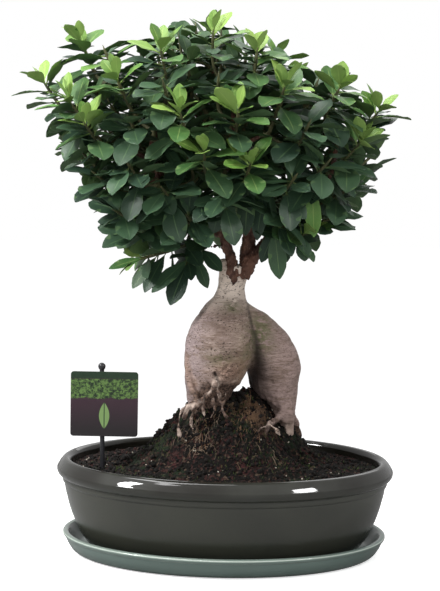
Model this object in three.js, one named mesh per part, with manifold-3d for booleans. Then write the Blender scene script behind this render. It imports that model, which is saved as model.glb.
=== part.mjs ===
// Ficus ginseng bonsai in an oval glazed pot that stands on a glazed saucer.
// Millimetres, +Z up, +X to the viewer's right, the front faces -Y.
// The origin is the middle of the saucer's flat underside.
import * as THREE from "three";
import { mergeVertices } from "three/addons/utils/BufferGeometryUtils.js";
import Module from "manifold-3d";

// Driving dimensions of the pot and saucer

const POT_HALF_LENGTH = 175;
const POT_HALF_WIDTH = 136.5;
const POT_SIDES = 32;
const FLOOR_RADIUS = 120;
const SEAT_GAP = 0.3;
const SAUCER_HALF_LENGTH = 168.4;
const SAUCER_FLOOR = 4.5;
const RIM_HEIGHT = 98.7;
const POT_FLOOR_TOP = 14;
const DRAIN_HOLE = { radius: 9, offset: 62, sides: 12 };
const SCREEN = { side: 30, thickness: 1.2, bar: 4 };

// Driving dimensions of the soil

const SOIL_LEVEL = 89;
const MOUND = { rise: 70, radius: 80, power: 3.6, x: 4, widthShare: 0.85 };
const HUMP = { rise: 15, x: 24, y: 10, radius: 21 };
const DIP = { depth: 15, x: 78, y: -22, radius: 24 };
const SOIL_RADII = [128, 92, 64, 32];

// Driving dimensions of the label

const LABEL = { width: 69, height: 67, corner: 3, thickness: 1 };
const LABEL_PLACE = { x: -125, y: -26, bottom: 124, lean: 0.9 };
const STAKE = { radius: 2.4, ball: 3.9, top: 196, depth: 30, point: 12 };

// Driving dimensions of the trunk, as level sections from the ground up:
// height, left edge, right edge, half depth from front to back, middle of the depth

const MAIN_BULB = [
  [116, -26, -14, 8, -8],
  [150, -37, -3, 20, -9],
  [172, -41, 9, 28, -8],
  [187, -42.5, 20, 33, -7],
  [202, -43.5, 26.5, 36, -6],
  [219, -43, 29.5, 37, -5],
  [236, -38.5, 28.5, 33, -3],
  [249, -31, 26, 28, -1],
  [259, -23.5, 21, 22, 0],
  [268, -15.5, 17.5, 17, 0],
  [280, -11.5, 17, 14.5, 0],
  [300, -9.5, 21, 14.5, 0],
];
const RIGHT_LEG = [
  [104, 62, 68, 4, -2],
  [124, 59, 70, 9, 0],
  [144, 50.5, 72, 16, 3],
  [155, 48, 72, 19, 5],
  [164, 39, 72, 24, 8],
  [174, 26, 73.5, 28, 10],
  [186, 21, 75.5, 31, 12],
  [202, 16, 73.5, 33, 13],
  [228, 8, 62, 28, 10],
  [240, 3, 50, 22, 7],
  [252, 0, 33, 15, 3],
];
const TRUNK_SIDES = 14;
const SWELL = 0.035;

// Surface roots: points along each root and its radius at both ends

const ROOTS = [
  { points: [[-30, -16, 200], [-41, -22, 176], [-43, -30, 156], [-52, -44, 128]], from: 9, to: 3 },
  { points: [[-12, -34, 192], [-19, -42, 172], [-30, -47, 152], [-40, -56, 128]], from: 5, to: 2.2 },
  { points: [[-8, -34, 190], [-6, -42, 168], [-1, -49, 150], [3, -58, 124]], from: 4.5, to: 2 },
  { points: [[-24, 10, 172], [-42, 22, 156], [-58, 34, 132]], from: 9, to: 3 },
  { points: [[-6, 16, 170], [0, 36, 152], [4, 58, 122]], from: 9, to: 3 },
  { points: [[62, 14, 150], [72, 30, 132], [80, 44, 108]], from: 7, to: 2.5 },
  { points: [[58, -6, 146], [48, -24, 140], [38, -40, 132], [30, -54, 112]], from: 6, to: 2.2 },
];
const ROOT_SIDES = 6;
const GRAFT_STUB = { x: -6, y: -6, radius: 5, from: 276, to: 306, sides: 8 };

// Driving dimensions of the branches: points and radii of each limb.
// The first three stand in the trunk's neck and the others fork from one before them.

const LIMBS = [
  {
    points: [[4, -11, 284], [2, -8, 306], [-12, -8, 338], [-52, -6, 392], [-108, -2, 440], [-140, 0, 466]],
    from: 7.5,
    to: 2.6,
  },
  { points: [[17, 2, 292], [19, 2, 312], [19, 0, 352], [6, 6, 420], [-6, 4, 482]], from: 8, to: 2.4 },
  {
    points: [[14, -7, 294], [28, -6, 312], [45, -3, 335], [84, 0, 382], [124, 2, 430]],
    from: 7,
    to: 2.6,
  },
  { points: [[-22, -7, 352], [-54, -48, 384], [-82, -88, 412]], from: 4.6, to: 2.2 },
  { points: [[-10, -7, 334], [-44, 14, 340], [-78, 18, 346], [-104, 10, 360]], from: 4.2, to: 2.2 },
  { points: [[17, 1, 362], [10, -50, 398], [2, -92, 428]], from: 4.6, to: 2.2 },
  { points: [[18, 2, 356], [20, 52, 392], [16, 96, 424]], from: 4.8, to: 2.2 },
  { points: [[8, 5, 412], [-40, 4, 458], [-72, 4, 484]], from: 4, to: 2 },
  { points: [[10, 4, 400], [52, 6, 452], [78, 4, 478]], from: 4, to: 2 },
  { points: [[56, -2, 350], [82, -44, 374], [98, -78, 398]], from: 4.4, to: 2.2 },
  { points: [[54, -2, 348], [80, 44, 376], [98, 82, 404]], from: 4.4, to: 2.2 },
  { points: [[-40, -7, 376], [-66, 44, 400], [-86, 88, 424]], from: 4.4, to: 2.2 },
];
const SCIONS = 3;
const LIMB_SIDES = 5;

// Driving dimensions of the crown

const CROWN = { x: -14, z: 430, halfLength: 192, halfDepth: 150, halfHeight: 142, shell: 0.8 };

// Shoot tips seen from the front: across, height, and 1 where young leaves show bright

const FRONT_TIPS = [
  [-152, 520, 1],
  [-126, 514, 0],
  [-70, 512, 1],
  [-20, 535, 1],
  [22, 512, 1],
  [-190, 480, 1],
  [-158, 462, 1],
  [-140, 440, 1],
  [-109, 482, 1],
  [-50, 455, 1],
  [-26, 416, 1],
  [48, 478, 1],
  [102, 484, 1],
  [124, 428, 1],
  [5, 455, 1],
  [17, 406, 1],
  [-98, 405, 0],
  [142, 462, 1],
  [-66, 482, 0],
  [72, 446, 0],
  [92, 410, 0],
  [60, 396, 0],
  [116, 384, 0],
  [102, 354, 0],
  [70, 338, 1],
  [58, 356, 0],
  [-6, 382, 0],
  [-42, 356, 0],
  [-66, 384, 0],
  [-130, 394, 0],
  [-112, 360, 0],
  [-96, 338, 0],
  [-88, 306, 1],
  [-46, 300, 0],
  [-100, 450, 0],
  [-14, 488, 0],
];

// Shoot tips on the crown's flat top, between those in front and those at the back

const TOP_TIPS = [[-38, -8, 540], [-94, -4, 526], [24, -42, 524], [84, -32, 500]];

// Shoot tips at the back follow a golden spiral on the crown's rear half, which is drawn in below
// and slopes down to the right

const BACK_TIPS = 14;
const BACK = { reach: 0.9, drawnIn: 0.45, rise: 0.86, slope: 0.22 };
const GOLDEN_ANGLE = Math.PI * (3 - Math.sqrt(5));

// Driving dimensions of a leaf and of the whorl it stands in

const BLADE = {
  oldLength: 51,
  newLength: 42,
  youngLength: 33,
  budLength: 24,
  widthShare: 0.5,
  fold: 0.2,
  droop: 0.16,
};
// Stations of a blade: how far along it, its share of the full half width, and half its thickness
const BLADE_STATIONS = [[0.45, 0.88, 0.75], [0.78, 0.95, 0.7]];
const BLADE_ROOT = { trim: 0.8, share: 0.16, thick: 2.2 };
const WHORL_SPAN = 27;
const OLD_LEAVES = 6;
const OLD_SPREAD = [1.5, 0.85];
const OLD_SAG = 0.3;
const YOUNG_LEAVES = 3;
const YOUNG_SPREAD = [0.95, 0.3];
const YOUNG_STEP = 2.6;
const TWIG = { foot: 2.1, middle: 1.9, tip: 1.3, sides: 3, twist: GOLDEN_ANGLE - (2 * Math.PI) / 3 };
const PAIR_REACH = 84;
const FOOT_SHARES = [0.5, 0.7, 0.35, 0.6];
const FOOT_TWIG = { limb: 2.8, bend: 2.5, foot: 2.3, sag: 0.08, sides: 3, stub: 9, bow: 0.16 };
const CLEARANCE = 0.4;

// Ways to bend an arm that meets another: how far aside, and which way round
const BEND_TURNS = [0.5, 1.7, 2.9, 4.1, 5.3];
const ARM_BENDS = [0, 7, 14, 21, 28].flatMap((aside) => BEND_TURNS.map((turn) => [aside, turn]));

// Ways to turn a leaf that meets another: sides further round, swing and tilt
const SWINGS = [
  [0, 0, 0], [0, 0.3, 0], [0, -0.3, 0], [0, 0, 0.25], [0, 0, -0.25],
  [0, 0.5, 0.15], [0, -0.5, -0.15], [1, 0, 0], [2, 0, 0], [1, 0.35, 0.2],
  [2, -0.35, 0.2], [1, -0.4, -0.3], [2, 0.4, -0.3], [0, 0.55, 0.4],
];

// Materials

const material = (color, roughness) => {
  return new THREE.MeshStandardMaterial({ color, roughness, metalness: 0 });
};
const potGlaze = material(0x3f423a, 0.25);
const saucerGlaze = material(0x7d958a, 0.25);
const peat = material(0x2a1f19, 0.95);
const bark = material(0xa8988a, 0.8);
const redBark = material(0x6b4438, 0.8);
const darkLeaf = material(0x1f4a2c, 0.35);
const youngLeaf = material(0x74b53a, 0.35);
const cardPlastic = material(0x33232b, 0.5);
const stakePlastic = material(0x17171a, 0.45);
const screenPlastic = material(0x202422, 0.6);

// Solids: closed meshes that can be joined and cut

const wasm = await Module();
wasm.setup();

function solidOf(geometry) {
  const bare = geometry.clone();
  bare.deleteAttribute("normal");
  bare.deleteAttribute("uv");
  const merged = mergeVertices(bare, 1e-4);
  return new wasm.Manifold(
    new wasm.Mesh({
      numProp: 3,
      vertProperties: new Float32Array(merged.attributes.position.array),
      triVerts: new Uint32Array(merged.index.array),
    }),
  );
}

function geometryOf(solid) {
  const mesh = solid.getMesh();
  const geometry = new THREE.BufferGeometry();
  geometry.setAttribute("position", new THREE.BufferAttribute(mesh.vertProperties, 3));
  geometry.setIndex(new THREE.BufferAttribute(mesh.triVerts, 1));
  return geometry;
}

// Indexed geometry from a list of points and a list of corner numbers
function faceted(points, corners) {
  const geometry = new THREE.BufferGeometry();
  const places = points.flatMap((p) => [p.x, p.y, p.z]);
  geometry.setAttribute("position", new THREE.Float32BufferAttribute(places, 3));
  geometry.setIndex(corners);
  return geometry;
}

// A closed skin over rings of points that run anticlockwise about the way from ring to ring
function loft(rings) {
  const sides = rings[0].length;
  const corners = [];
  for (let i = 0; i + 1 < rings.length; i++) {
    for (let j = 0; j < sides; j++) {
      const a = i * sides + j;
      const b = i * sides + ((j + 1) % sides);
      corners.push(a, b, b + sides, a, b + sides, a + sides);
    }
  }
  const last = (rings.length - 1) * sides;
  for (let j = 1; j + 1 < sides; j++) {
    corners.push(0, j + 1, j);
    corners.push(last, last + j, last + j + 1);
  }
  return faceted(rings.flat(), corners);
}

const vector = ([x, y, z]) => new THREE.Vector3(x, y, z);
const mix = (a, b, t) => a + (b - a) * t;

// Two unit vectors across the way at each point, carried along without a twist
function framesAlong(points) {
  const frames = [];
  points.forEach((point, i) => {
    const before = points[Math.max(i - 1, 0)];
    const after = points[Math.min(i + 1, points.length - 1)];
    const way = after.clone().sub(before).normalize();
    const side = i === 0 ? acrossOf(way)[0] : frames[i - 1][0].clone();
    side.addScaledVector(way, -side.dot(way)).normalize();
    frames.push([side, way.cross(side)]);
  });
  return frames;
}

// A tapered tube's rings along a list of points, with the radius and the turn of each
function tubeRings(points, radii, sides, turns) {
  return framesAlong(points).map(([side, up], i) =>
    Array.from({ length: sides }, (_, j) => {
      const angle = (2 * Math.PI * j) / sides + (turns ? turns[i] : 0);
      return points[i]
        .clone()
        .addScaledVector(side, radii[i] * Math.cos(angle))
        .addScaledVector(up, radii[i] * Math.sin(angle));
    }),
  );
}

const tube = (points, radii, sides) => loft(tubeRings(points, radii, sides));

// Two unit vectors across a direction, which make a right-handed set with it
function acrossOf(direction) {
  const helper = Math.abs(direction.x) < 0.9 ? new THREE.Vector3(1, 0, 0) : new THREE.Vector3(0, 1, 0);
  const side = helper.clone().addScaledVector(direction, -helper.dot(direction)).normalize();
  return [side, direction.clone().cross(side)];
}

// Pot and saucer: profiles turned round, then drawn in across their width to an oval

function ovalHalfWidth(radius) {
  const narrower = POT_HALF_LENGTH - POT_HALF_WIDTH;
  return radius > FLOOR_RADIUS ? radius - narrower : (radius * (FLOOR_RADIUS - narrower)) / FLOOR_RADIUS;
}

function ovalTurn(profile, shapeTop) {
  const geometry = new THREE.LatheGeometry(profile.map(([r, z]) => new THREE.Vector2(r, z)), POT_SIDES);
  const place = geometry.attributes.position;
  for (let i = 0; i < place.count; i++) {
    const radius = Math.hypot(place.getX(i), place.getZ(i));
    const narrowing = radius > 0 ? ovalHalfWidth(radius) / radius : 1;
    const x = place.getX(i);
    const y = -place.getZ(i) * narrowing;
    place.setXYZ(i, x, y, shapeTop(x, y, place.getY(i)));
  }
  return geometry;
}

const keepHeight = (x, y, z) => z;
const POT_SEAT = SAUCER_FLOOR + SEAT_GAP;
const saucerProfile = [
  [0, 0], [149, 0], [153.5, 2.5], [163, 15], [167.6, 16.6], [SAUCER_HALF_LENGTH, 19], [167, 21.6],
  [164.6, 22], [161.5, 20], [155.5, 10.5], [145.5, SAUCER_FLOOR], [0, SAUCER_FLOOR],
];
const potProfile = [
  [0, 8.5], [127, 8.5], [128.5, POT_SEAT], [138.5, POT_SEAT], [151.5, 22], [160.3, 44], [166.8, 71],
  [168.6, 73], [168, 76], [174.2, 81], [POT_HALF_LENGTH, 88], [172.6, 95], [166.5, RIM_HEIGHT],
  [160.5, 96.4], [158.6, 88], [151.6, 48], [141.5, 22], [130, POT_FLOOR_TOP], [0, POT_FLOOR_TOP],
];

function drainDrill(x) {
  const { radius, sides } = DRAIN_HOLE;
  const drill = new THREE.CylinderGeometry(radius, radius, RIM_HEIGHT / 2, sides);
  drill.rotateX(Math.PI / 2);
  drill.translate(x, 0, 0);
  return solidOf(drill);
}

const potSolid = solidOf(ovalTurn(potProfile, keepHeight))
  .subtract(drainDrill(-DRAIN_HOLE.offset))
  .subtract(drainDrill(DRAIN_HOLE.offset));

// Drain screens: square plastic grids of four openings that lie over the drain holes

function drainScreen(x) {
  const plate = new THREE.BoxGeometry(SCREEN.side, SCREEN.side, SCREEN.thickness);
  const opening = (SCREEN.side - 3 * SCREEN.bar) / 2;
  const offset = (opening + SCREEN.bar) / 2;
  let solid = solidOf(plate);
  for (const sx of [-1, 1]) {
    for (const sy of [-1, 1]) {
      const hole = new THREE.BoxGeometry(opening, opening, 3 * SCREEN.thickness);
      solid = solid.subtract(solidOf(hole.translate(sx * offset, sy * offset, 0)));
    }
  }
  return geometryOf(solid).translate(x, 0, POT_FLOOR_TOP + SEAT_GAP + SCREEN.thickness / 2);
}

function screenPocket(x) {
  const side = SCREEN.side + 2 * SEAT_GAP;
  const height = 2 * (SCREEN.thickness + 2 * SEAT_GAP);
  const pocket = new THREE.BoxGeometry(side, side, height);
  pocket.translate(x, 0, POT_FLOOR_TOP);
  return solidOf(pocket);
}

// Trunk: two swollen legs that meet under the neck, with roots over the soil

// Sections through a leg, each an oval that swells and sinks a little round its edge
function legRings(sections, grow, phase) {
  return sections.map(([height, left, right, halfDepth, middle]) =>
    Array.from({ length: TRUNK_SIDES }, (_, j) => {
      const angle = (2 * Math.PI * j) / TRUNK_SIDES;
      const swell = 1 + SWELL * Math.sin(3 * angle + phase + height / 40);
      const across = ((right - left) / 2 + grow) * swell;
      const deep = (halfDepth + grow) * swell;
      const x = (left + right) / 2 + across * Math.cos(angle);
      return new THREE.Vector3(x, middle + deep * Math.sin(angle), height);
    }),
  );
}

// The first and last rings move out by the growth too, so that a hole is longer than what stands in it
function stretched(rings, grow) {
  rings[0].forEach((p) => (p.z -= grow));
  rings[rings.length - 1].forEach((p) => (p.z += grow));
  return rings;
}

function curveTube({ points, from, to }, grow, sides, steps = 1) {
  const curve = new THREE.CatmullRomCurve3(points.map(vector));
  const count = steps * (points.length - 1);
  const places = Array.from({ length: count + 1 }, (_, i) => curve.getPoint(i / count));
  const radii = places.map((_, i) => mix(from, to, i / count) + grow);
  if (grow > 0) {
    const end = places[count].clone().sub(places[count - 1]).normalize();
    places[count].addScaledVector(end, grow);
  }
  return solidOf(tube(places, radii, sides));
}

function graftStub(grow) {
  const { x, y, radius, from, to, sides } = GRAFT_STUB;
  const points = [new THREE.Vector3(x + 1, y + 2, from), new THREE.Vector3(x, y, to + grow)];
  return solidOf(tube(points, [radius + grow, radius - 0.8 + grow], sides));
}

function trunkBody(grow) {
  const legs = solidOf(loft(stretched(legRings(MAIN_BULB, grow, 0.6), grow))).add(
    solidOf(loft(stretched(legRings(RIGHT_LEG, grow, 2.2), grow))),
  );
  const roots = ROOTS.map((root) => curveTube(root, grow, ROOT_SIDES));
  return roots.reduce((body, root) => body.add(root), legs).add(graftStub(grow));
}

// Soil: fills the pot to its lip and heaps up round the roots

const bell = (distance, radius, power) => Math.exp(-Math.pow(distance / radius, power));

function soilHeight(x, y) {
  const mound = MOUND.rise * bell(Math.hypot(x - MOUND.x, y / MOUND.widthShare), MOUND.radius, MOUND.power);
  const hump = HUMP.rise * bell(Math.hypot(x - HUMP.x, y - HUMP.y), HUMP.radius, 2);
  const dip = DIP.depth * bell(Math.hypot(x - DIP.x, y - DIP.y), DIP.radius, 2);
  const lumps = 1.6 * Math.sin(x / 9) * Math.cos(y / 8) + 1.2 * Math.sin(x / 17 + y / 13);
  return SOIL_LEVEL + mound + hump - dip + lumps * bell(Math.hypot(x, y), 140, 6);
}

function soilSolid() {
  const bottom = POT_FLOOR_TOP + SEAT_GAP;
  const wall = [[0, bottom], [129.6, bottom], [141, 22.3], [151.1, 48], [158.1, SOIL_LEVEL]];
  const top = SOIL_RADII.map((radius) => [radius, SOIL_LEVEL + 1]);
  const profile = [...wall, ...top, [0, SOIL_LEVEL + 1]];
  return solidOf(ovalTurn(profile, (x, y, z) => (z > SOIL_LEVEL ? soilHeight(x, y) : z)));
}

// Label: a plain card on a round stake with a ball on top

function labelCard() {
  const { width, height, corner, thickness } = LABEL;
  const w = width / 2 - corner;
  const h = height / 2 - corner;
  const outline = new THREE.Shape();
  outline.absarc(w, -h, corner, -Math.PI / 2, 0);
  outline.absarc(w, h, corner, 0, Math.PI / 2);
  outline.absarc(-w, h, corner, Math.PI / 2, Math.PI);
  outline.absarc(-w, -h, corner, Math.PI, 1.5 * Math.PI);
  return new THREE.ExtrudeGeometry(outline, { depth: thickness, bevelEnabled: false, curveSegments: 2 });
}

function stakeSolid(grow) {
  const { radius, ball, top, depth, point } = STAKE;
  const bottom = SOIL_LEVEL - depth;
  const foot = new THREE.Vector3(0, 0, bottom - grow);
  const points = [foot, new THREE.Vector3(0, 0, bottom + point), new THREE.Vector3(0, 0, top)];
  const rod = solidOf(tube(points, [0.8 + grow, radius + grow, radius + grow], 8));
  const head = new THREE.SphereGeometry(ball + grow, 8, 6);
  head.rotateX(Math.PI / 2);
  head.translate(0, 0, top);
  const lean = new THREE.Matrix4().makeRotationY(-THREE.MathUtils.degToRad(LABEL_PLACE.lean));
  const place = new THREE.Matrix4().makeTranslation(LABEL_PLACE.x, LABEL_PLACE.y, 0);
  return solidOf(geometryOf(rod.add(solidOf(head))).applyMatrix4(lean).applyMatrix4(place));
}

// Random draws, the same every time

let seed = 20260;
function draw() {
  seed = (seed * 16807) % 2147483647;
  return seed / 2147483647;
}

// Clearance: a shape is the edges and triangles of a closed mesh and the box that holds it

function shapeOf(geometry) {
  const place = geometry.attributes.position.array;
  const index = geometry.index.array;
  const edges = [];
  const low = [Infinity, Infinity, Infinity];
  const high = [-Infinity, -Infinity, -Infinity];
  for (let i = 0; i < place.length; i++) {
    low[i % 3] = Math.min(low[i % 3], place[i]);
    high[i % 3] = Math.max(high[i % 3], place[i]);
  }
  for (let i = 0; i < index.length; i += 3) {
    for (let k = 0; k < 3; k++) {
      const a = index[i + k];
      const b = index[i + ((k + 1) % 3)];
      if (a < b) edges.push(a, b);
    }
  }
  return { place, index, edges, low, high };
}

// True where an edge of one shape passes through a triangle of the other
function pierces(a, b) {
  const p = a.place;
  const q = b.place;
  for (let i = 0; i < a.edges.length; i += 2) {
    const s = 3 * a.edges[i];
    const e = 3 * a.edges[i + 1];
    const dx = p[e] - p[s];
    const dy = p[e + 1] - p[s + 1];
    const dz = p[e + 2] - p[s + 2];
    for (let j = 0; j < b.index.length; j += 3) {
      const t0 = 3 * b.index[j];
      const t1 = 3 * b.index[j + 1];
      const t2 = 3 * b.index[j + 2];
      const ux = q[t1] - q[t0];
      const uy = q[t1 + 1] - q[t0 + 1];
      const uz = q[t1 + 2] - q[t0 + 2];
      const vx = q[t2] - q[t0];
      const vy = q[t2 + 1] - q[t0 + 1];
      const vz = q[t2 + 2] - q[t0 + 2];
      const hx = dy * vz - dz * vy;
      const hy = dz * vx - dx * vz;
      const hz = dx * vy - dy * vx;
      const det = ux * hx + uy * hy + uz * hz;
      if (Math.abs(det) < 1e-9) continue;
      const wx = p[s] - q[t0];
      const wy = p[s + 1] - q[t0 + 1];
      const wz = p[s + 2] - q[t0 + 2];
      const u = (wx * hx + wy * hy + wz * hz) / det;
      if (u < 0 || u > 1) continue;
      const kx = wy * uz - wz * uy;
      const ky = wz * ux - wx * uz;
      const kz = wx * uy - wy * ux;
      const v = (dx * kx + dy * ky + dz * kz) / det;
      if (v < 0 || u + v > 1) continue;
      const t = (vx * kx + vy * ky + vz * kz) / det;
      if (t >= 0 && t <= 1) return true;
    }
  }
  return false;
}

function cross(a, b) {
  for (let k = 0; k < 3; k++) {
    if (a.low[k] > b.high[k] || b.low[k] > a.high[k]) return false;
  }
  return pierces(a, b) || pierces(b, a);
}

const isClear = (shape, others) => others.every((other) => !cross(shape, other));

// Blades

// The points of one blade after its root: two stations across the wide part, then the pointed tip.
// Its margins stand above the midrib and it droops towards the tip.
function bladePoints(leaf, stations, grow) {
  const { root, along, face, length, droop } = leaf;
  const across = face.clone().cross(along);
  const halfWidth = (BLADE.widthShare * length) / 2;
  const at = (s, side, lift) =>
    root
      .clone()
      .addScaledVector(along, s * length)
      .addScaledVector(across, side)
      .addScaledVector(face, lift - droop * length * s * s);
  const points = [];
  for (const [s, share, thick] of stations) {
    const half = share * halfWidth;
    const lift = BLADE.fold * half;
    points.push(at(s, half + grow, lift), at(s, 0, thick + grow));
    points.push(at(s, -half - grow, lift), at(s, 0, -thick - grow));
  }
  points.push(at(1 + grow / length, 0, 0));
  return points;
}

// The corners between two stations whose first points are numbered i and k, alike on both faces
function betweenStations(i, k) {
  return [
    i, i + 1, k + 1, i, k + 1, k,
    i + 2, k + 1, i + 1, i + 2, k + 2, k + 1,
    i + 2, i + 3, k + 3, i + 2, k + 3, k + 2,
    i, k + 3, i + 3, i, k, k + 3,
  ];
}

// The corners of the tip, from the station whose first point is numbered i
const toTip = (i) => [i, i + 1, i + 4, i + 2, i + 4, i + 1, i + 2, i + 3, i + 4, i, i + 4, i + 3];

// What a blade needs free round it, past its first millimetres at the twig
function bladeShape(leaf) {
  const start = BLADE_ROOT.trim / leaf.length;
  const stations = [[start, BLADE_ROOT.share, BLADE_ROOT.thick], ...BLADE_STATIONS];
  const corners = [0, 3, 2, 0, 2, 1, ...betweenStations(0, 4), ...betweenStations(4, 8), ...toTip(8)];
  return shapeOf(faceted(bladePoints(leaf, stations, CLEARANCE), corners));
}

// A three-sided twig with its leaves: one side of a step opens into the blade that grows there.
// The rings turn a little at each leaf, so the leaves follow the golden angle round the twig.
function leafyTwig(points, radii, turns, leaves) {
  const rings = tubeRings(points, radii, TWIG.sides, turns);
  const all = rings.flat();
  const last = (rings.length - 1) * TWIG.sides;
  const corners = [0, 2, 1, last, last + 1, last + 2];
  for (let i = 0; i + 1 < rings.length; i++) {
    for (let j = 0; j < TWIG.sides; j++) {
      const a = i * TWIG.sides + j;
      const b = i * TWIG.sides + ((j + 1) % TWIG.sides);
      const c = b + TWIG.sides;
      const d = a + TWIG.sides;
      const leaf = leaves.find((one) => one.step === i && one.side === j);
      if (!leaf) {
        corners.push(a, b, c, a, c, d);
        continue;
      }
      const k = all.length;
      all.push(...bladePoints(leaf, BLADE_STATIONS, 0));
      corners.push(c, d, k + 1, a, b, k + 3, b, c, k, d, a, k + 2);
      corners.push(c, k + 1, k, d, k + 2, k + 1, a, k + 3, k + 2, b, k, k + 3);
      corners.push(...betweenStations(k, k + 4), ...toTip(k + 4));
    }
  }
  return faceted(all, corners);
}

// Draws for the leaves of one whorl, from the oldest, low and spread out, to the newest
function whorlLeaves(count, lengths, spreads, sag) {
  return Array.from({ length: count }, (_, k) => {
    const age = 1 - k / Math.max(count - 1, 1);
    return {
      spread: mix(spreads[1], spreads[0], age) + 0.25 * (draw() - 0.5),
      length: mix(lengths[1], lengths[0], age) * (0.9 + 0.2 * draw()),
      roll: 0.5 * (draw() - 0.5),
      droop: BLADE.droop * (0.4 + draw()),
      sag: sag * age,
      widest: spreads[0] + 0.3,
    };
  });
}

// The leaves of a twig's last steps, each turned until it is clear; one that never is gets left out.
// Leaf k grows from the side that lies nearest to the golden angle after leaf k - 1.
function growWhorl(twig, leaves, placed) {
  const frames = framesAlong(twig.points);
  const first = twig.points.length - 1 - leaves.length;
  const grown = [];
  leaves.forEach((leaf, k) => {
    const step = first + k;
    const [side, up] = frames[step + 1];
    const low = twig.points[step];
    const high = twig.points[step + 1];
    const axis = high.clone().sub(low).normalize();
    const turn = (twig.turns[step] + twig.turns[step + 1]) / 2;
    for (const [shift, swing, tilt] of SWINGS) {
      const chosen = (k + shift) % TWIG.sides;
      const facing = turn + ((chosen + 0.5) * 2 * Math.PI) / TWIG.sides;
      const azimuth = facing + swing;
      const spread = Math.min(leaf.spread + tilt, leaf.widest);
      const along = axis.clone().multiplyScalar(Math.cos(spread));
      along.addScaledVector(side, Math.sin(spread) * Math.cos(azimuth));
      along.addScaledVector(up, Math.sin(spread) * Math.sin(azimuth));
      along.z -= leaf.sag;
      along.normalize();
      const face = axis.clone();
      face.z += 0.6;
      face.addScaledVector(along, -face.dot(along)).normalize();
      const across = face.clone().cross(along);
      face.multiplyScalar(Math.cos(leaf.roll)).addScaledVector(across, Math.sin(leaf.roll));
      const root = low.clone().lerp(high, 0.5);
      root.addScaledVector(side, (TWIG.tip / 2) * Math.cos(facing));
      root.addScaledVector(up, (TWIG.tip / 2) * Math.sin(facing));
      const one = { ...leaf, root, along, face, step, side: chosen };
      const shape = bladeShape(one);
      if (!isClear(shape, placed)) continue;
      placed.push(shape);
      grown.push(one);
      break;
    }
  });
  return grown;
}

// Crown

// How far forward the crown's shell lies at a place seen from the front
function shellDepth(x, z) {
  const across = (x - CROWN.x) / CROWN.halfLength;
  const rise = (z - CROWN.z) / CROWN.halfHeight;
  return CROWN.halfDepth * Math.sqrt(Math.max(0, CROWN.shell - across * across - rise * rise));
}

// The way a shoot points: out from the crown's middle, turned up towards the light
function shootDirection(tip) {
  const out = new THREE.Vector3(
    (tip.x - CROWN.x) / CROWN.halfLength,
    tip.y / CROWN.halfDepth,
    (tip.z - CROWN.z + 20) / CROWN.halfHeight,
  ).normalize();
  out.z += 0.75;
  return out.normalize();
}

function crownTips() {
  const tips = FRONT_TIPS.map(([x, z, young]) => {
    const tip = new THREE.Vector3(x, -shellDepth(x, z) + 16 * (draw() - 0.5), z);
    return { tip, direction: shootDirection(tip), young: young === 1, phase: 2 * Math.PI * draw() };
  });
  for (let k = 0; k < BACK_TIPS; k++) {
    const height = 1 - (1.62 * (k + 0.5)) / BACK_TIPS;
    const turn = ((k * GOLDEN_ANGLE) % Math.PI) * 0.94 + 0.03 * Math.PI;
    const level = Math.sqrt(1 - height * height) * BACK.reach * (1 + BACK.drawnIn * Math.min(0, height));
    const aside = CROWN.halfLength * level * Math.cos(turn);
    const tip = new THREE.Vector3(
      CROWN.x + aside,
      CROWN.halfDepth * (level * Math.sin(turn) + 0.06),
      CROWN.z + CROWN.halfHeight * BACK.rise * height - BACK.slope * Math.max(0, aside),
    );
    const young = height > 0 && k % 3 === 0;
    tips.push({ tip, direction: shootDirection(tip), young, phase: 2 * Math.PI * draw() });
  }
  for (const place of TOP_TIPS) {
    const tip = vector(place);
    tips.push({ tip, direction: shootDirection(tip), young: false, phase: 2 * Math.PI * draw() });
  }
  return tips;
}

// Neighbouring shoots share a spray: each takes its nearest free neighbour within reach
function pairUp(shoots) {
  const free = new Set(shoots);
  const pairs = [];
  for (const shoot of shoots) {
    if (!free.delete(shoot)) continue;
    let best = null;
    let bestDistance = PAIR_REACH;
    for (const other of free) {
      const distance = other.tip.distanceTo(shoot.tip);
      if (distance < bestDistance) {
        best = other;
        bestDistance = distance;
      }
    }
    free.delete(best);
    pairs.push(best ? [shoot, best] : [shoot]);
  }
  return pairs;
}

const limbPlaces = LIMBS.flatMap(({ points }) => {
  const curve = new THREE.CatmullRomCurve3(points.map(vector));
  return Array.from({ length: 9 }, (_, i) => curve.getPoint(0.28 + 0.09 * i));
});

// The places on the limbs that can carry a spray, the nearest and lowest first
function limbsNear(point) {
  const cost = (p) => p.distanceTo(point) + 0.3 * Math.max(0, p.z - point.z + 12);
  return [...limbPlaces].sort((a, b) => cost(a) - cost(b)).slice(0, 16);
}

const group = new THREE.Group();

function addPiece(name, geometry, finish) {
  const mesh = new THREE.Mesh(geometry, finish);
  mesh.name = name;
  group.add(mesh);
  return mesh;
}

// Branches: the limbs, and a brown twig to the foot of each spray

const joined = (solids) => solids.reduce((body, solid) => body.add(solid));
const limbTube = (limb, grow) => curveTube(limb, grow, LIMB_SIDES);

// A spray's foot lies between its limb and the middle of its whorls, at the end of a sagging twig
function footBetween(limb, middle, share) {
  const foot = limb.clone().lerp(middle, share);
  const bend = limb.clone().lerp(foot, 0.5);
  bend.z -= FOOT_TWIG.sag * limb.distanceTo(foot);
  const way = foot.clone().sub(bend).normalize();
  const end = foot.clone().addScaledVector(way, -SEAT_GAP);
  const radii = [FOOT_TWIG.limb, FOOT_TWIG.bend, FOOT_TWIG.foot];
  const twig = (grow) => tube([limb, bend, end], radii.map((radius) => radius + grow), FOOT_TWIG.sides);
  return { foot, way, twig, shape: shapeOf(twig(2 * CLEARANCE)) };
}

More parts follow.
